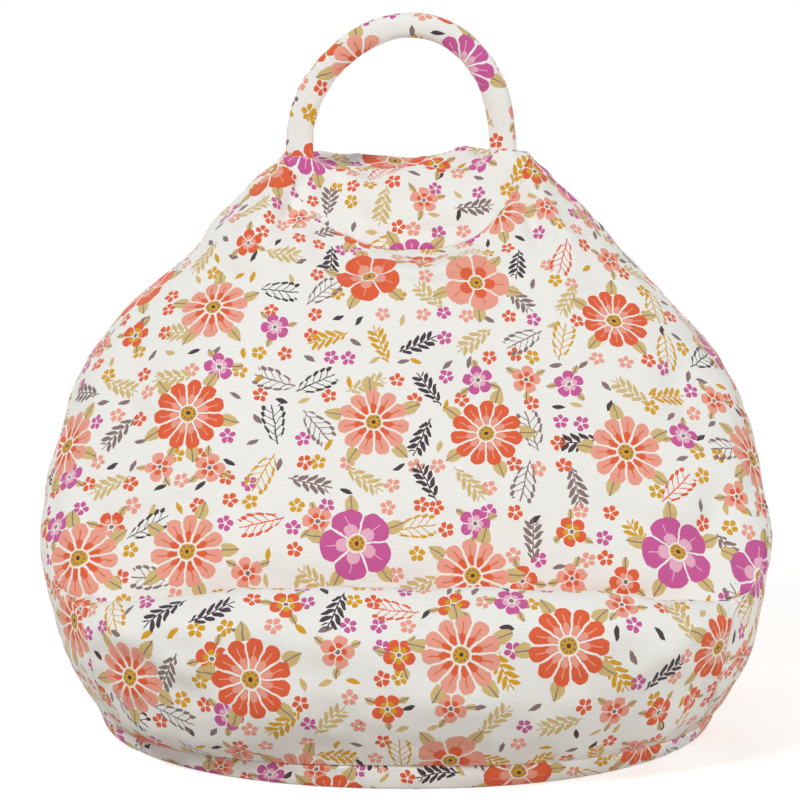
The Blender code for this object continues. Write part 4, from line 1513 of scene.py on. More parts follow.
class Tree:
    """A node tree that is filled through one function."""

    SIGNS = {
        "+": "ADD", "-": "SUBTRACT", "*": "MULTIPLY", "/": "DIVIDE", "<": "LESS_THAN", ">": "GREATER_THAN",
        "abs": "ABSOLUTE", "max": "MAXIMUM", "sin": "SINE",
    }

    def __init__(self, owner: Material | bpy.types.World) -> None:
        """Empties the owner's tree.

        Args:
            owner: The material or world.
        """
        owner.use_nodes = True
        self.tree = owner.node_tree
        self.tree.nodes.clear()

    def add(self, kind: str, *inputs, out: int | str = 0, **settings) -> Socket:
        """Adds a node with its settings and links.

        Args:
            kind: The node's type after "ShaderNode", and after a space its operation, if it has one; or one
                of the signs, for a Math node.
            inputs: For each input in turn a socket, a value or None to leave it; or one dict by their names.
            out: The output to hand back.
            settings: The node's properties.

        Returns:
            The output socket.
        """
        name, _, operation = ("Math " + self.SIGNS[kind] if kind in self.SIGNS else kind).partition(" ")
        node = self.tree.nodes.new("ShaderNode" + name)
        if operation:
            node.operation = operation
        for key, value in settings.items():
            setattr(node, key, value)
        by_name = inputs[0] if inputs and isinstance(inputs[0], dict) else dict(enumerate(inputs))
        for key, value in by_name.items():
            if isinstance(value, Socket):
                self.tree.links.new(value, node.inputs[key])
            elif value is not None:
                node.inputs[key].default_value = value
        return node.outputs[out] if node.outputs else node.inputs[0]


@dataclass(frozen=True)
class Lamp:
    """A round soft lamp and the point that it is turned to."""

    name: str
    place: Point
    size: float
    power: float  # watts
    aim: Point = (0.0, 0.0, 0.1)

    def hang(self) -> None:
        """Adds the lamp to the scene."""
        data = bpy.data.lights.new(self.name, "AREA")
        data.shape = "DISK"
        data.size = self.size
        data.energy = self.power
        lamp = bpy.data.objects.new(self.name, data)
        lamp.location = self.place
        lamp.rotation_euler = (Vector(self.place) - Vector(self.aim)).to_track_quat("Z", "Y").to_euler()
        bpy.context.scene.collection.objects.link(lamp)


@dataclass(frozen=True)
class Studio:
    """Camera, soft lights and a pale floor."""

    eye: Point = (-0.0025, -1.0334, 0.3015)
    tilt: float = math.radians(80.0)
    lens: float = 126.0
    sensor: float = 36.0
    white: str = "FFFFFF"
    paper: str = "D2CEC9"
    ambient: str = "F9F9FA"
    ambient_strength: float = 0.28
    floor_size: float = 12.0
    floor_lift: float = 0.63  # glow that the camera adds to the floor, so that it shows white
    shadow_reach: tuple[float, float] = (0.20, 0.40)  # the floor's shadow fades out between these distances
    lamps: tuple[Lamp, ...] = (
        Lamp("key", (-0.95, -0.98, 1.42), 0.45, 18.5),
        Lamp("front_fill", (1.3, -1.5, 0.9), 1.2, 6.5),
        Lamp("rear_fill", (-0.3, 1.9, 0.8), 1.6, 17.0),
        Lamp("side_card", (1.6, -0.45, 0.22), 0.9, 9.0, (0.0, 0.0, 0.08)),
    )

    def build(self) -> None:
        """Makes the camera, the floor, the lamps and the world."""
        scene = bpy.context.scene
        scene.view_settings.view_transform = "Standard"
        self.place_camera(scene)
        self.lay_floor()
        for lamp in self.lamps:
            lamp.hang()
        self.surround(scene)

    def place_camera(self, scene: bpy.types.Scene) -> None:
        """Places the camera at the photograph's angle.

        Args:
            scene: The scene that looks through it.
        """
        data = bpy.data.cameras.new("camera")
        data.lens = self.lens
        data.sensor_width = self.sensor
        data.sensor_fit = "HORIZONTAL"
        camera = bpy.data.objects.new("camera", data)
        camera.location = self.eye
        camera.rotation_euler = (self.tilt, 0, 0)
        scene.collection.objects.link(camera)
        scene.camera = camera

    def lay_floor(self) -> None:
        """Lays the floor, which shows white to the camera but keeps the cushion's soft shadow."""
        material, tree = new_material("studio_paper")
        seen = tree.add("LightPath")
        paper = tree.add("BsdfDiffuse", linear(self.paper))
        lift = tree.add("Emission", linear(self.white), self.floor_lift)
        dark = tree.add("Emission", linear(self.white), 0.0)
        near = tree.add("AddShader", paper, tree.add("MixShader", seen, dark, lift))
        away = tree.add("VectorMath LENGTH", tree.add("TexCoord", out="Object"), out="Value")
        fade = tree.add("MapRange", {0: away, 1: self.shadow_reach[0], 2: self.shadow_reach[1]})
        far = tree.add("*", fade, seen)
        white = tree.add("Emission", linear(self.white), 1.0)
        tree.add("OutputMaterial", tree.add("MixShader", far, near, white))
        bm = bmesh.new()
        bmesh.ops.create_grid(bm, x_segments=1, y_segments=1, size=self.floor_size / 2)
        place_mesh("floor", bm, material)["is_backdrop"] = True

    def surround(self, scene: bpy.types.Scene) -> None:
        """Surrounds the scene with soft light that shows as plain white.

        Args:
            scene: The scene.
        """
        world = bpy.data.worlds.new("white_room")
        scene.world = world
        tree = Tree(world)
        ambient = tree.add("Background", linear(self.ambient), self.ambient_strength)
        shown = tree.add("Background", linear(self.white), 1.0)
        paths = [tree.add("LightPath", out=f"Is {kind} Ray") for kind in ("Camera", "Glossy", "Transmission")]
        either = tree.add("max", tree.add("max", paths[0], paths[1]), paths[2])
        tree.add("OutputWorld", tree.add("MixShader", either, ambient, shown))


class Tint(Enum):
    """The inks of the print, as sRGB hex."""

    GROUND = "F7F6F1"
    CORAL = "E8643C"
    SALMON = "F2A590"
    MAGENTA = "CF5C9E"
    PINK = "F0B5CC"
    TAN = "D9BE7F"
    MUSTARD = "DDA520"
    TAUPE = "8C7674"
    CHARCOAL = "4A3C44"


@dataclass(frozen=True)
class Scatter:
    """One layer of the tossed print: a motif in each cell, loose in its place."""

    cell: float  # mm
    looseness: float
    shift: Point


@dataclass(frozen=True)
class Petals:
    """A ring of round-ended petals."""

    reach: float  # mm
    notch: float  # how deep the outline falls between two petals, as a share of their reach
    gap: float  # of the bare line between two petals, mm


@dataclass(frozen=True)
class LeafRing:
    """Leaves that stand out round a flower, in mm."""

    count: int
    start: float
    length: float
    width: float  # half of it
    turn: float = 0.21  # share of a leaf's sector
    rib: float = 0.22


@dataclass(frozen=True)
class Sprig:
    """A stem with leaves, or with berries on stalks, on both sides by turns, in mm."""

    half: float = 7.4  # of the stem's length
    pitch: float = 2.9  # from one leaf to the next
    reach: float = 3.8  # of a leaf from the stem
    width: float = 0.9  # half a leaf's
    lean: float = 0.9  # climb of a leaf for its reach
    taper: float = 0.55  # share of a leaf's reach that is lost at the sprig's ends
    bare: float = 1.0  # lower end of the stem
    tip: float = 0.8
    stem: float = 0.24
    stalk: float = 0.16
    berry: float = 0.85  # a berry's radius, squared


@dataclass
class Motif:
    """Where the surface lies on the nearest motif of a layer."""

    here: Socket  # mm from the motif's middle, turned with it
    middle: Socket  # the motif's middle on the cloth, mm
    dice: list[Socket]  # three random numbers of its own
    radius: Socket
    angle: Socket


class FloralPrint:
    """A generic tossed floral: daisies, blossoms, leaf sprigs and berry sprigs in no set order.

    Everything is drawn by formula in millimetres of cloth, with flat inks, as a screen print has. A motif's
    second random number says what it is, and its third picks its inks.
    """

    WOBBLE = (0.35, 1.1)  # the inks' edges waver: how often in each mm, and by how many mm
    PETAL_ROUNDNESS = 3.0
    POSY = Scatter(53.0, 0.40, (11.0, 5.0, 0.0))
    SPRAY = Scatter(19.0, 0.34, (3.0, 41.0, 0.0))
    SPECK = Scatter(8.6, 0.50, (29.0, 17.0, 0.0))
    SPECK_TO_POSY = 15.5  # least distance between their middles, mm
    SPECK_TO_SPRAY = 6.2
    SPRAY_TO_POSY = 13.5

    FLORETS_ABOVE = 0.45
    FLORET = Petals(2.9, 0.55, 0.3)
    FLORET_EYE = 0.62
    LEAVES_BELOW = 0.46
    LEAF_LENGTH = 5.2
    LEAF_WIDTH = 0.95  # half of it

    LEAFY_BELOW = 0.40
    BLOSSOMS_ABOVE = 0.64
    SPRIG = Sprig()
    FIVE = 5.0  # petals of a floret and of a blossom
    BLOSSOM = Petals(5.6, 0.38, 0.4)
    BLOSSOM_HEART = Petals(3.1, 0.62, 0.5)
    BLOSSOM_LEAVES = LeafRing(3, 4.4, 4.4, 1.25)
    BLOSSOM_EYES = (1.25, 0.8)

    DAISIES_BELOW = 0.62
    FLOWER = 13.2  # radius of the largest flower, mm
    FLOWER_PETALS = (5.0, 6.0)  # of a wide flower, and how many more a daisy has
    FLOWER_LEAVES = LeafRing(5, FLOWER - 3.0, 8.6, 2.5)
    OUTER = Petals(FLOWER, 0.24, 0.75)
    INNER = Petals(FLOWER * 0.56, 0.70, 1.1)
    BACKING = FLOWER * 0.93
    STREAK = 0.03  # width of the line up a petal, as a share of its own
    STREAK_SPAN = (FLOWER * 0.66, FLOWER * 0.17)  # its middle and half its length
    HEARTS = (FLOWER * 0.27, FLOWER * 0.22)
    DOTS = 9.0
    DOT_RING = (FLOWER * 0.155, 0.36)  # its radius and half its width
    DOT_WIDTH = 0.55
    EYE = FLOWER * 0.06

    def __init__(self, tree: Tree, place: Socket) -> None:
        """Starts the print.

        Args:
            tree: The cloth's node tree.
            place: Place on the cloth, mm.
        """
        self.tree = tree
        often, far = self.WOBBLE
        wobble = tree.add("TexNoise", {"Vector": place, "Scale": often, "Detail": 1.0}, out="Color")
        centred = tree.add("VectorMath SUBTRACT", wobble, (0.5, 0.5, 0.5))
        self.place = tree.add(
            "VectorMath ADD", place, tree.add("VectorMath SCALE", {0: centred, "Scale": far})
        )

    def cell(self, layer: Scatter, at: Socket) -> tuple[Socket, Socket, Socket]:
        """Finds the nearest motif of a layer.

        Args:
            layer: The layer.
            at: Place on the cloth, mm.

        Returns:
            Distance to its middle in mm, its random colour and its middle.
        """
        add = self.tree.add
        moved = add("VectorMath ADD", at, layer.shift)
        inputs = {"Vector": moved, "Scale": 1 / layer.cell, "Randomness": layer.looseness}
        dice = add("TexVoronoi", inputs, out="Color", voronoi_dimensions="2D")
        middle = dice.node.outputs["Position"]
        distance = add("VectorMath DISTANCE", moved, middle, out="Value")
        return distance, dice, add("VectorMath SUBTRACT", middle, layer.shift)

    def motif(self, layer: Scatter) -> Motif:
        """Places and turns the nearest motif of a layer.

        Args:
            layer: The layer.

        Returns:
            The motif.
        """
        add = self.tree.add
        _, colour, middle = self.cell(layer, self.place)
        dice = add("SeparateXYZ", colour).node.outputs
        turn = add("*", dice[0], 2 * math.pi)
        away = add("VectorMath SUBTRACT", self.place, middle)
        here = add("VectorRotate", {"Vector": away, "Angle": turn}, rotation_type="Z_AXIS")
        parts = add("SeparateXYZ", here).node.outputs
        angle = add("Math ARCTAN2", parts[1], parts[0])
        radius = add("VectorMath LENGTH", here, out="Value")
        return Motif(here, middle, list(dice), radius, angle)

    def sector(self, motif: Motif, count: Socket | float, offset: float = 0.0) -> Socket:
        """Finds where the surface lies across a motif's sector.

        Args:
            motif: The motif.
            count: How many sectors it has.
            offset: How far they are turned, as a share of one.

        Returns:
            The share of the way across, from -0.5 to 0.5.
        """
        add = self.tree.add
        turns = add("*", motif.angle, add("/", count, 2 * math.pi))
        return add("-", add("Math FRACT", add("+", turns, offset)), 0.5)

    def petals(self, motif: Motif, count: Socket | float, ring: Petals) -> Socket:
        """Draws a ring of petals.

        Args:
            motif: The motif they belong to.
            count: How many there are.
            ring: Their sizes.

        Returns:
            1 on a petal, 0 off it.
        """
        add = self.tree.add
        off = add("abs", self.sector(motif, count))
        fall = add("Math POWER", add("*", off, 2.0), self.PETAL_ROUNDNESS)
        edge = add("Math MULTIPLY_ADD", fall, -ring.notch * ring.reach, ring.reach)
        inside = add("<", motif.radius, edge)
        arc = add("*", add("-", 0.5, off), add("/", motif.radius, count))
        apart = add(">", arc, ring.gap / (4 * math.pi))
        return add("*", inside, apart)

    def leaf(self, along: Socket, off: Socket, width: float) -> Socket:
        """Draws a pointed leaf.

        Args:
            along: Share of its length.
            off: Distance from its midrib, mm.
            width: Its half width, mm.

        Returns:
            1 on the leaf, 0 off it.
        """
        add = self.tree.add
        bow = add("*", add("*", along, add("-", 1.0, along)), 4 * width)
        return add("<", add("abs", off), bow)

    def leaf_ring(self, motif: Motif, ring: LeafRing) -> tuple[Socket, Socket]:
        """Draws the leaves round a flower.

        Args:
            motif: The flower.
            ring: The leaves' sizes.

        Returns:
            The leaves and their midribs, as 1 or 0.
        """
        add = self.tree.add
        across = add("*", self.sector(motif, ring.count, ring.turn), motif.radius)
        off = add("*", across, 2 * math.pi / ring.count)
        along = add("/", add("-", motif.radius, ring.start), ring.length)
        leaves = self.leaf(along, off, ring.width)
        rib = add("<", add("abs", off), ring.rib)
        return leaves, add("*", leaves, rib)

    def sprig(self, motif: Motif, form: Sprig) -> tuple[Socket, Socket]:
        """Draws a sprig along a motif's own Y.

        Args:
            motif: The motif.
            form: The sprig's sizes.

        Returns:
            The leafy sprig and the berry sprig, as 1 or 0.
        """
        add = self.tree.add
        slant = math.hypot(1, form.lean)
        parts = add("SeparateXYZ", motif.here).node.outputs
        side = add("abs", parts[0])
        foot = add("-", parts[1], add("*", side, form.lean))
        by_turns = add("*", add(">", parts[0], 0.0), 0.5)
        step = add("Math FRACT", add("Math MULTIPLY_ADD", foot, 1 / form.pitch, by_turns))
        off = add("*", add("-", step, 0.5), form.pitch / slant)
        height = add("abs", add("+", foot, form.bare))
        on_stem = add("<", height, form.half - form.bare)
        share = add("/", foot, form.half)
        square = add("*", share, share)
        taper = add("Math MULTIPLY_ADD", square, -form.taper * form.reach, form.reach)
        along = add("/", side, taper)
        stem = add("<", side, form.stem)
        reached = add("<", add("abs", parts[1]), form.half + form.tip)
        stem = add("*", stem, reached)
        leaves = add("*", self.leaf(along, off, form.width), on_stem)
        stalk = add("*", add("<", add("abs", off), form.stalk), on_stem)
        stalk = add("*", stalk, add("<", along, 1.0))
        beyond = add("*", add("-", side, taper), slant)
        away = add("+", add("*", beyond, beyond), add("*", off, off))
        berries = add("*", add("<", away, form.berry), on_stem)
        return (
            add("max", stem, leaves),
            add("max", stem, add("max", stalk, berries)),
        )

    def over(self, under: Socket | tuple, ink: Socket | Tint, *where: Socket) -> Socket:
        """Prints an ink over what is there.

        Args:
            under: The colour so far.
            ink: The ink, or the socket that picks it.
            where: Shapes and conditions, each 1 where the ink may lie.

        Returns:
            The new colour.
        """
        mask = where[0]
        for more in where[1:]:
            mask = self.tree.add("*", mask, more)
        colour = linear(ink.value) if isinstance(ink, Tint) else ink
        return self.tree.add("Mix", {0: mask, 6: under, 7: colour}, **MIXED)

    def disc(self, motif: Motif, radius: float) -> Socket:
        """A round spot on a motif's middle, as 1 or 0."""
        return self.tree.add("<", motif.radius, radius)

    def pick(self, roll: Socket, inks: Sequence[Tint]) -> Socket:
        """Picks one of some inks by a random number.

        Args:
            roll: The number, from 0 to 1.
            inks: The inks, each as likely as the others.

        Returns:
            The ink's colour.
        """
        ramp = self.tree.add("ValToRGB", roll)
        stops = ramp.node.color_ramp
        stops.interpolation = "CONSTANT"
        for number, ink in enumerate(inks):
            # A ramp starts with two stops, and a new one starts near its end
            stop = stops.elements[number] if number < 2 else stops.elements.new(0.99)
            stop.position = number / len(inks)
            stop.color = linear(ink.value)
        return ramp

    def colour(self) -> Socket:
        """Prints the layers, the smallest motifs first."""
        return self.posies(self.sprays(self.specks(linear(Tint.GROUND.value))))

    def clear_of(self, motif: Motif, layer: Scatter, distance: float) -> Socket:
        """Whether a motif's middle lies clear of a larger layer's nearest one."""
        away, _, _ = self.cell(layer, motif.middle)
        return self.tree.add(">", away, distance)

    def specks(self, colour: tuple) -> Socket:
        """Prints the smallest layer: five-petalled florets and single leaves.

        Args:
            colour: The ground.

        Returns:
            The colour with the layer on it.
        """
        add = self.tree.add
        motif = self.motif(self.SPECK)
        off_posy = self.clear_of(motif, self.POSY, self.SPECK_TO_POSY)
        clear = add("*", off_posy, self.clear_of(motif, self.SPRAY, self.SPECK_TO_SPRAY))
        is_floret = add(">", motif.dice[1], self.FLORETS_ABOVE)
        is_leaf = add("<", motif.dice[1], self.LEAVES_BELOW)
        parts = add("SeparateXYZ", motif.here).node.outputs
        along = add("Math MULTIPLY_ADD", parts[0], 1 / self.LEAF_LENGTH, 0.5)
        leaf = self.leaf(along, parts[1], self.LEAF_WIDTH)
        blooms = self.pick(motif.dice[2], (Tint.CORAL, Tint.MAGENTA, Tint.CORAL, Tint.SALMON, Tint.MUSTARD))
        greens = self.pick(motif.dice[2], (Tint.TAUPE, Tint.TAN, Tint.MUSTARD, Tint.CHARCOAL, Tint.TAUPE))
        colour = self.over(colour, greens, leaf, is_leaf, clear)
        colour = self.over(colour, blooms, self.petals(motif, self.FIVE, self.FLORET), is_floret, clear)
        return self.over(colour, Tint.GROUND, self.disc(motif, self.FLORET_EYE), clear, is_floret)

    def sprays(self, colour: Socket) -> Socket:
        """Prints the middle layer: leafy sprigs, berry sprigs and five-petalled blossoms.

        Args:
            colour: The colour so far.

        Returns:
            The colour with the layer on it.
        """
        add = self.tree.add
        motif = self.motif(self.SPRAY)
        clear = self.clear_of(motif, self.POSY, self.SPRAY_TO_POSY)
        leafy, berried = self.sprig(motif, self.SPRIG)
        first = add("<", motif.dice[1], self.LEAFY_BELOW)
        last = add(">", motif.dice[1], self.BLOSSOMS_ABOVE)
        middle = add("-", 1.0, add("max", first, last))
        greens = self.pick(motif.dice[2], (Tint.TAN, Tint.TAUPE, Tint.TAN, Tint.CHARCOAL, Tint.MUSTARD))
        stalks = self.pick(motif.dice[2], (Tint.CHARCOAL, Tint.MUSTARD, Tint.TAUPE, Tint.CORAL))
        colour = self.over(colour, greens, leafy, first, clear)
        colour = self.over(colour, stalks, berried, middle, clear)
        shown = add("*", last, clear)
        blooms = self.pick(motif.dice[2], (Tint.SALMON, Tint.CORAL, Tint.MAGENTA, Tint.SALMON, Tint.CORAL))
        hearts = self.pick(motif.dice[2], (Tint.CORAL, Tint.SALMON, Tint.PINK, Tint.CORAL, Tint.MUSTARD))
        leaves, ribs = self.leaf_ring(motif, self.BLOSSOM_LEAVES)
        for ink, shape in (
            (Tint.TAN, leaves),
            (Tint.TAUPE, ribs),
            (blooms, self.petals(motif, self.FIVE, self.BLOSSOM)),
            (hearts, self.petals(motif, self.FIVE, self.BLOSSOM_HEART)),
            (Tint.GROUND, self.disc(motif, self.BLOSSOM_EYES[0])),
            (Tint.TAUPE, self.disc(motif, self.BLOSSOM_EYES[1])),
        ):
            colour = self.over(colour, ink, shape, shown)
        return colour

    def posies(self, colour: Socket) -> Socket:
        """Prints the largest layer: daisies and wide five-petalled flowers on a ring of leaves.

        Args:
            colour: The colour so far.

        Returns:
            The colour with the layer on it.
        """
        add = self.tree.add
        motif = self.motif(self.POSY)
        daisy = add("<", motif.dice[1], self.DAISIES_BELOW)
        fewest, more = self.FLOWER_PETALS
        count = add("Math MULTIPLY_ADD", daisy, more, fewest)
        leaves, ribs = self.leaf_ring(motif, self.FLOWER_LEAVES)
        outer = self.pick(motif.dice[2], (Tint.SALMON, Tint.MAGENTA, Tint.CORAL, Tint.SALMON))
        inner = self.pick(motif.dice[2], (Tint.CORAL, Tint.PINK, Tint.SALMON, Tint.CORAL))
        streak = add("*", add("abs", self.sector(motif, count)),
                     add("/", motif.radius, count))
        streak = add("<", streak, self.STREAK)
        span = add("Math COMPARE", motif.radius, *self.STREAK_SPAN)
        dots = add("*", add("abs", self.sector(motif, self.DOTS)), motif.radius)
        dots = add("<", dots, self.DOT_WIDTH)
        ring = add("Math COMPARE", motif.radius, *self.DOT_RING)
        for ink, *shapes in (
            (Tint.TAN, leaves),
            (Tint.TAUPE, ribs),
            (Tint.GROUND, self.disc(motif, self.BACKING)),
            (outer, self.petals(motif, count, self.OUTER)),
            (inner, self.petals(motif, count, self.INNER)),
            (inner, streak, span),
            (Tint.GROUND, self.disc(motif, self.HEARTS[0])),
            (Tint.MUSTARD, self.disc(motif, self.HEARTS[1])),
            (Tint.TAUPE, dots, ring),
            (Tint.CHARCOAL, self.disc(motif, self.EYE)),
        ):
            colour = self.over(colour, ink, *shapes)
        return colour


def new_material(name: str) -> tuple[Material, Tree]:
    """A named material and its empty tree."""
    material = bpy.data.materials.new(name)
    return material, Tree(material)


@dataclass(frozen=True)
class Finish:
    """A finish of one principled shader, whose kinds each draw a colour and the height that bumps it."""

    name: str

    SHADER: ClassVar[dict[str, float]] = {}  # the shader's other inputs by their names
    BUMP: ClassVar[tuple[float, float]]  # strength, and distance in metres

    def place(self, tree: Tree) -> Socket:
        """Where the surface lies, in the object's own coordinates."""
        return tree.add("TexCoord", out="Object")

    def draw(self, tree: Tree, place: Socket) -> tuple[Socket, Socket]:
        """The colour and the height."""
        raise NotImplementedError

    def shading(self, tree: Tree, height: Socket) -> dict[str, Socket | float]:
        """The shader's other inputs by their names."""
        return self.SHADER

    def make(self) -> Material:
        """Makes the material.

        Returns:
            The new material.
        """
        material, tree = new_material(self.name)
        colour, height = self.draw(tree, self.place(tree))
        strength, distance = self.BUMP
        bump = tree.add("Bump", {"Strength": strength, "Distance": distance, "Height": height})
        inputs = {"Base Color": colour, "Normal": bump, **self.shading(tree, height)}
        tree.add("OutputMaterial", tree.add("BsdfPrincipled", inputs))
        return material


@dataclass(frozen=True)
class PrintedCotton(Finish):
    """Cotton sateen, woven, bleached and screen printed.

    The eye gets flat bright inks on a soft white, faint slubs that run with the weft and a weak sheen where
    the cloth turns away.
    """

    thread: float = 0.85  # mm; real threads are 0.3 mm apart, too fine to show
    slub_length: float = 7.0  # mm
    slub_height: float = 0.55  # mm
    thread_share: float = 0.22  # height of the threads beside the slubs'
    slub_tone: float = 0.955

    SHADER = {"Roughness": 0.82, "Sheen Weight": 0.18, "Sheen Roughness": 0.45, "Specular IOR Level": 0.3}
    BUMP = (0.55, 0.05 * MM)

    def place(self, tree: Tree) -> Socket:
        """Where the surface lies on the printed cloth, in millimetres."""
        return tree.add("VectorMath SCALE", {0: tree.add("UVMap", uv_map="cloth"), "Scale": 1 / MM})

    def draw(self, tree: Tree, place: Socket) -> tuple[Socket, Socket]:
        """Prints the cloth and raises its slubs and threads.

        Args:
            tree: The material's tree.
            place: Place on the cloth, mm.

        Returns:
            The colour and the height.
        """
        add = tree.add
        ink = FloralPrint(tree, place).colour()
        run = add("VectorMath MULTIPLY", place, (1 / self.slub_length, 1 / self.slub_height, 1.0))
        slub = add("TexNoise", {"Vector": run, "Scale": 1.0, "Detail": 3.0, "Roughness": 0.6})
        turns = add("VectorMath SCALE", {0: place, "Scale": 2 * math.pi / self.thread})
        threads = add("SeparateXYZ", turns).node.outputs
        weave = add("*", add("sin", threads[0]), add("sin", threads[1]))
        tone = add("MapRange", {0: slub, 1: 0.3, 2: 0.7, 3: self.slub_tone, 4: 1.0})
        height = add("Math MULTIPLY_ADD", weave, self.thread_share, slub)
        return add("Mix", {0: 1.0, 6: ink, 7: tone}, **TONED), height


@dataclass(frozen=True)
class WovenCloth(Finish):
    """Plain woven cloth, undyed: dull and even, with its threads just showing."""

    colour: str
    thread: float  # mm, drawn coarser than the real 0.25 mm
    soil_scale: float = 60.0  # patches a little over 1.5 cm across
    shaded: float = 0.9  # painted shade between the threads

    SHADER = {"Roughness": 0.9, "Sheen Weight": 0.15}
    BUMP = (0.6, 0.1 * MM)

    def draw(self, tree: Tree, place: Socket) -> tuple[Socket, Socket]:
        """Weaves the cloth, paints shade between its threads and tones it unevenly.

        Args:
            tree: The material's tree.
            place: Place on the object, in metres.

        Returns:
            The colour and the height.
        """
        add = tree.add
        fine = add("VectorMath SCALE", {0: place, "Scale": 2 * math.pi / (self.thread * MM)})
        threads = add("SeparateXYZ", fine).node.outputs
        warp = add("sin", add("+", threads[0], threads[1]))
        weave = add("*", warp, add("sin", threads[2]))
        soil = add("TexNoise", {"Vector": place, "Scale": self.soil_scale, "Detail": 3.0})
        shade = add("Mix", {0: soil, 6: linear(self.colour), 7: linear("FFFFFF")}, **MIXED)
        tone = add("MapRange", {0: weave, 1: -1.0, 2: 1.0, 3: self.shaded, 4: 1.0})
        return add("Mix", {0: 1.0, 6: shade, 7: tone}, **TONED), weave


@dataclass(frozen=True)
class FoamBeads(Finish):
    """Expanded polystyrene beads: dull white balls that lie close, with painted shade in the gaps."""

    bead: float = 3.5  # mm
    looseness: float = 0.8
    fall: float = 3.0  # how steeply a ball curves down from its top
    # painted shade: the grey that the gaps between the beads are darkened to
    gap_shade: str = "B9BABC"
    colour: str = "F6F7F8"

    SHADER = {"Roughness": 0.75, "Subsurface Weight": 0.1}
    BUMP = (0.9, 1.2 * MM)

    def draw(self, tree: Tree, place: Socket) -> tuple[Socket, Socket]:
        """Packs the balls and paints shade into the gaps between them.

        Args:
            tree: The material's tree.
            place: Place on the object, in metres.

        Returns:
            The colour and the height.
        """
        add = tree.add
        inputs = {"Vector": place, "Scale": 1 / (self.bead * MM), "Randomness": self.looseness}
        away = add("TexVoronoi", inputs, out="Distance")
        under = add("Math MULTIPLY_ADD", add("*", away, away), -self.fall, 1.0)
        ball = add("Math SQRT", add("max", under, 0.0))
        return add("Mix", {0: ball, 6: linear(self.gap_shade), 7: linear(self.colour)}, **MIXED), ball


@dataclass(frozen=True)
class FibreWadding(Finish):
    """Carded polyester fibre: soft white, with painted shade where its loose strands lie low."""

    swirl_scale: float = 90.0  # swirls about 1 cm across
    swirl: float = 9 * MM
    combing: Point = (260.0, 1400.0, 1400.0)  # strands in each metre, fewest along the roll
    # painted shade: the grey that the low places between the strands are darkened to
    shade: str = "D4D6D8"
    colour: str = "FBFBFA"

    SHADER = {"Roughness": 0.95, "Sheen Weight": 0.3}
    BUMP = (0.8, 0.5 * MM)

    def draw(self, tree: Tree, place: Socket) -> tuple[Socket, Socket]:
        """Combs the strands and swirls them, and paints shade where they lie low.

        Args:
            tree: The material's tree.
            place: Place on the object, in metres.

        Returns:
            The colour and the height.
        """
        add = tree.add
        bent = add("TexNoise", {"Vector": place, "Scale": self.swirl_scale, "Detail": 2.0}, out="Color")
        swirled = add("VectorMath ADD", place, add("VectorMath SCALE", {0: bent, "Scale": self.swirl}))
        combed = add("VectorMath MULTIPLY", swirled, self.combing)
        strands = add("TexNoise", {"Vector": combed, "Scale": 1.0, "Detail": 4.0})
        return add("Mix", {0: strands, 6: linear(self.shade), 7: linear(self.colour)}, **MIXED), strands


@dataclass(frozen=True)
class ZipTape(Finish):
    """Polyester zip tape, woven as a fine herringbone: dull, with slanting ribs."""

    colour: str = "ECE8DC"
    rib: float = 0.9  # mm, drawn three times coarser than real so that it shows
    shaded: float = 0.86  # painted shade between the ribs

    SHADER = {"Roughness": 0.85, "Sheen Weight": 0.1}
    BUMP = (0.7, 0.12 * MM)

    def draw(self, tree: Tree, place: Socket) -> tuple[Socket, Socket]:
        """Weaves the ribs and paints shade between them.

        Args:
            tree: The material's tree.
            place: Place on the object, in metres.

        Returns:
            The colour and the height.
        """
        add = tree.add
        turns = add("VectorMath SCALE", {0: place, "Scale": 2 * math.pi / (self.rib * MM)})
        parts = add("SeparateXYZ", turns).node.outputs
        zigzag = add("Math PINGPONG", parts[2], 2 * math.pi)
        rib = add("sin", add("+", parts[0], zigzag))
        tone = add("MapRange", {0: rib, 1: -1.0, 2: 1.0, 3: self.shaded, 4: 1.0})
        return add("Mix", {0: 1.0, 6: linear(self.colour), 7: tone}, **TONED), rib


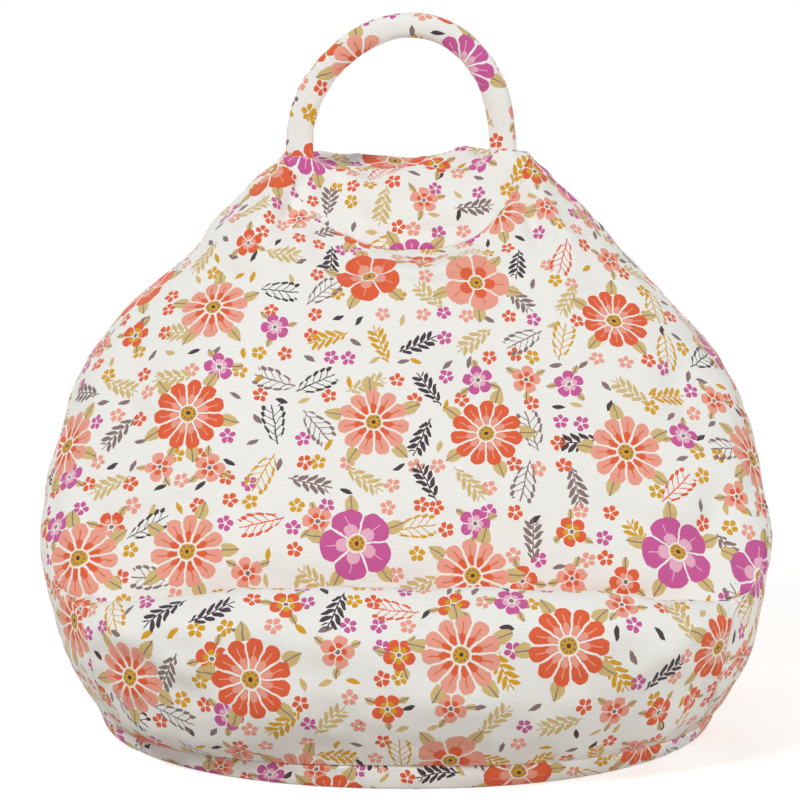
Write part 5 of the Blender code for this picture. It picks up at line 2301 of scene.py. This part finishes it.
@dataclass(frozen=True)
class Moulded(Finish):
    """A small moulded or cast part: an even colour with the faint mottle and dulled skin of its mould."""

    colour: str
    worn: str
    roughness: float
    metallic: float = 0.0
    mottle_scale: float = 900.0  # mottle about 1 mm across
    wear_scale: float = 260.0  # worn spots about 4 mm across
    wear_from: tuple[float, float] = (0.42, 0.68)
    wear: float = 0.7
    smoother: float = 0.06
    rougher: float = 0.1

    BUMP = (0.25, 0.03 * MM)

    def draw(self, tree: Tree, place: Socket) -> tuple[Socket, Socket]:
        """Mottles the part and wears its colour in spots.

        Args:
            tree: The material's tree.
            place: Place on the object, in metres.

        Returns:
            The colour and the height.
        """
        add = tree.add
        grain = {"Vector": place, "Scale": self.mottle_scale, "Detail": 4.0, "Roughness": 0.6}
        spots = add("TexNoise", {"Vector": place, "Scale": self.wear_scale, "Detail": 2.0})
        start, full = self.wear_from
        worn = add("MapRange", {0: spots, 1: start, 2: full, 3: 0.0, 4: self.wear})
        colour = add("Mix", {0: worn, 6: linear(self.colour), 7: linear(self.worn)}, **MIXED)
        return colour, add("TexNoise", grain)

    def shading(self, tree: Tree, height: Socket) -> dict[str, Socket | float]:
        """Dulls the part unevenly, by its mottle."""
        low, high = self.roughness - self.smoother, self.roughness + self.rougher
        dull = tree.add("MapRange", {0: height, 1: 0.3, 2: 0.7, 3: low, 4: high})
        return {"Roughness": dull, "Metallic": self.metallic}


def main() -> None:
    """Builds the cushion's pieces and the scene round them."""
    Studio().build()
    cotton = PrintedCotton("printed_cotton_sateen").make()
    lining = WovenCloth("plain_woven_lining", "EAEAE6", 0.8).make()
    webbing = WovenCloth("cotton_webbing", "E9E4D6", 1.4).make()
    # Acetal is a hard white plastic with a soft shine; die-cast zinc is plated, satin grey
    finishes = {
        "zip_tape": ZipTape("herringbone_polyester").make(),
        "zip_plastic": Moulded("moulded_acetal", "EDE9DE", "E2DDCF", 0.38).make(),
        "zip_metal": Moulded("plated_die_cast_zinc", "C4C3BF", "A9A7A2", 0.34, 1.0).make(),
    }
    cover = Cover(CoverForm())
    CoverMaker(cover, Filling(), Creases(), Seam()).build(cotton)
    Handle().build(cotton, webbing)
    Insides().build(lining, FoamBeads("expanded_polystyrene").make(), FibreWadding("carded_polyester").make())
    Zip().build(finishes, cover)
    boxes = {"cad": CAD_BOX, "visual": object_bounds()}
    {name: [list(corner) for corner in box] for name, box in boxes.items()}


if __name__ == "__main__":
    logging.basicConfig(level=logging.INFO, format="%(message)s")
    main()
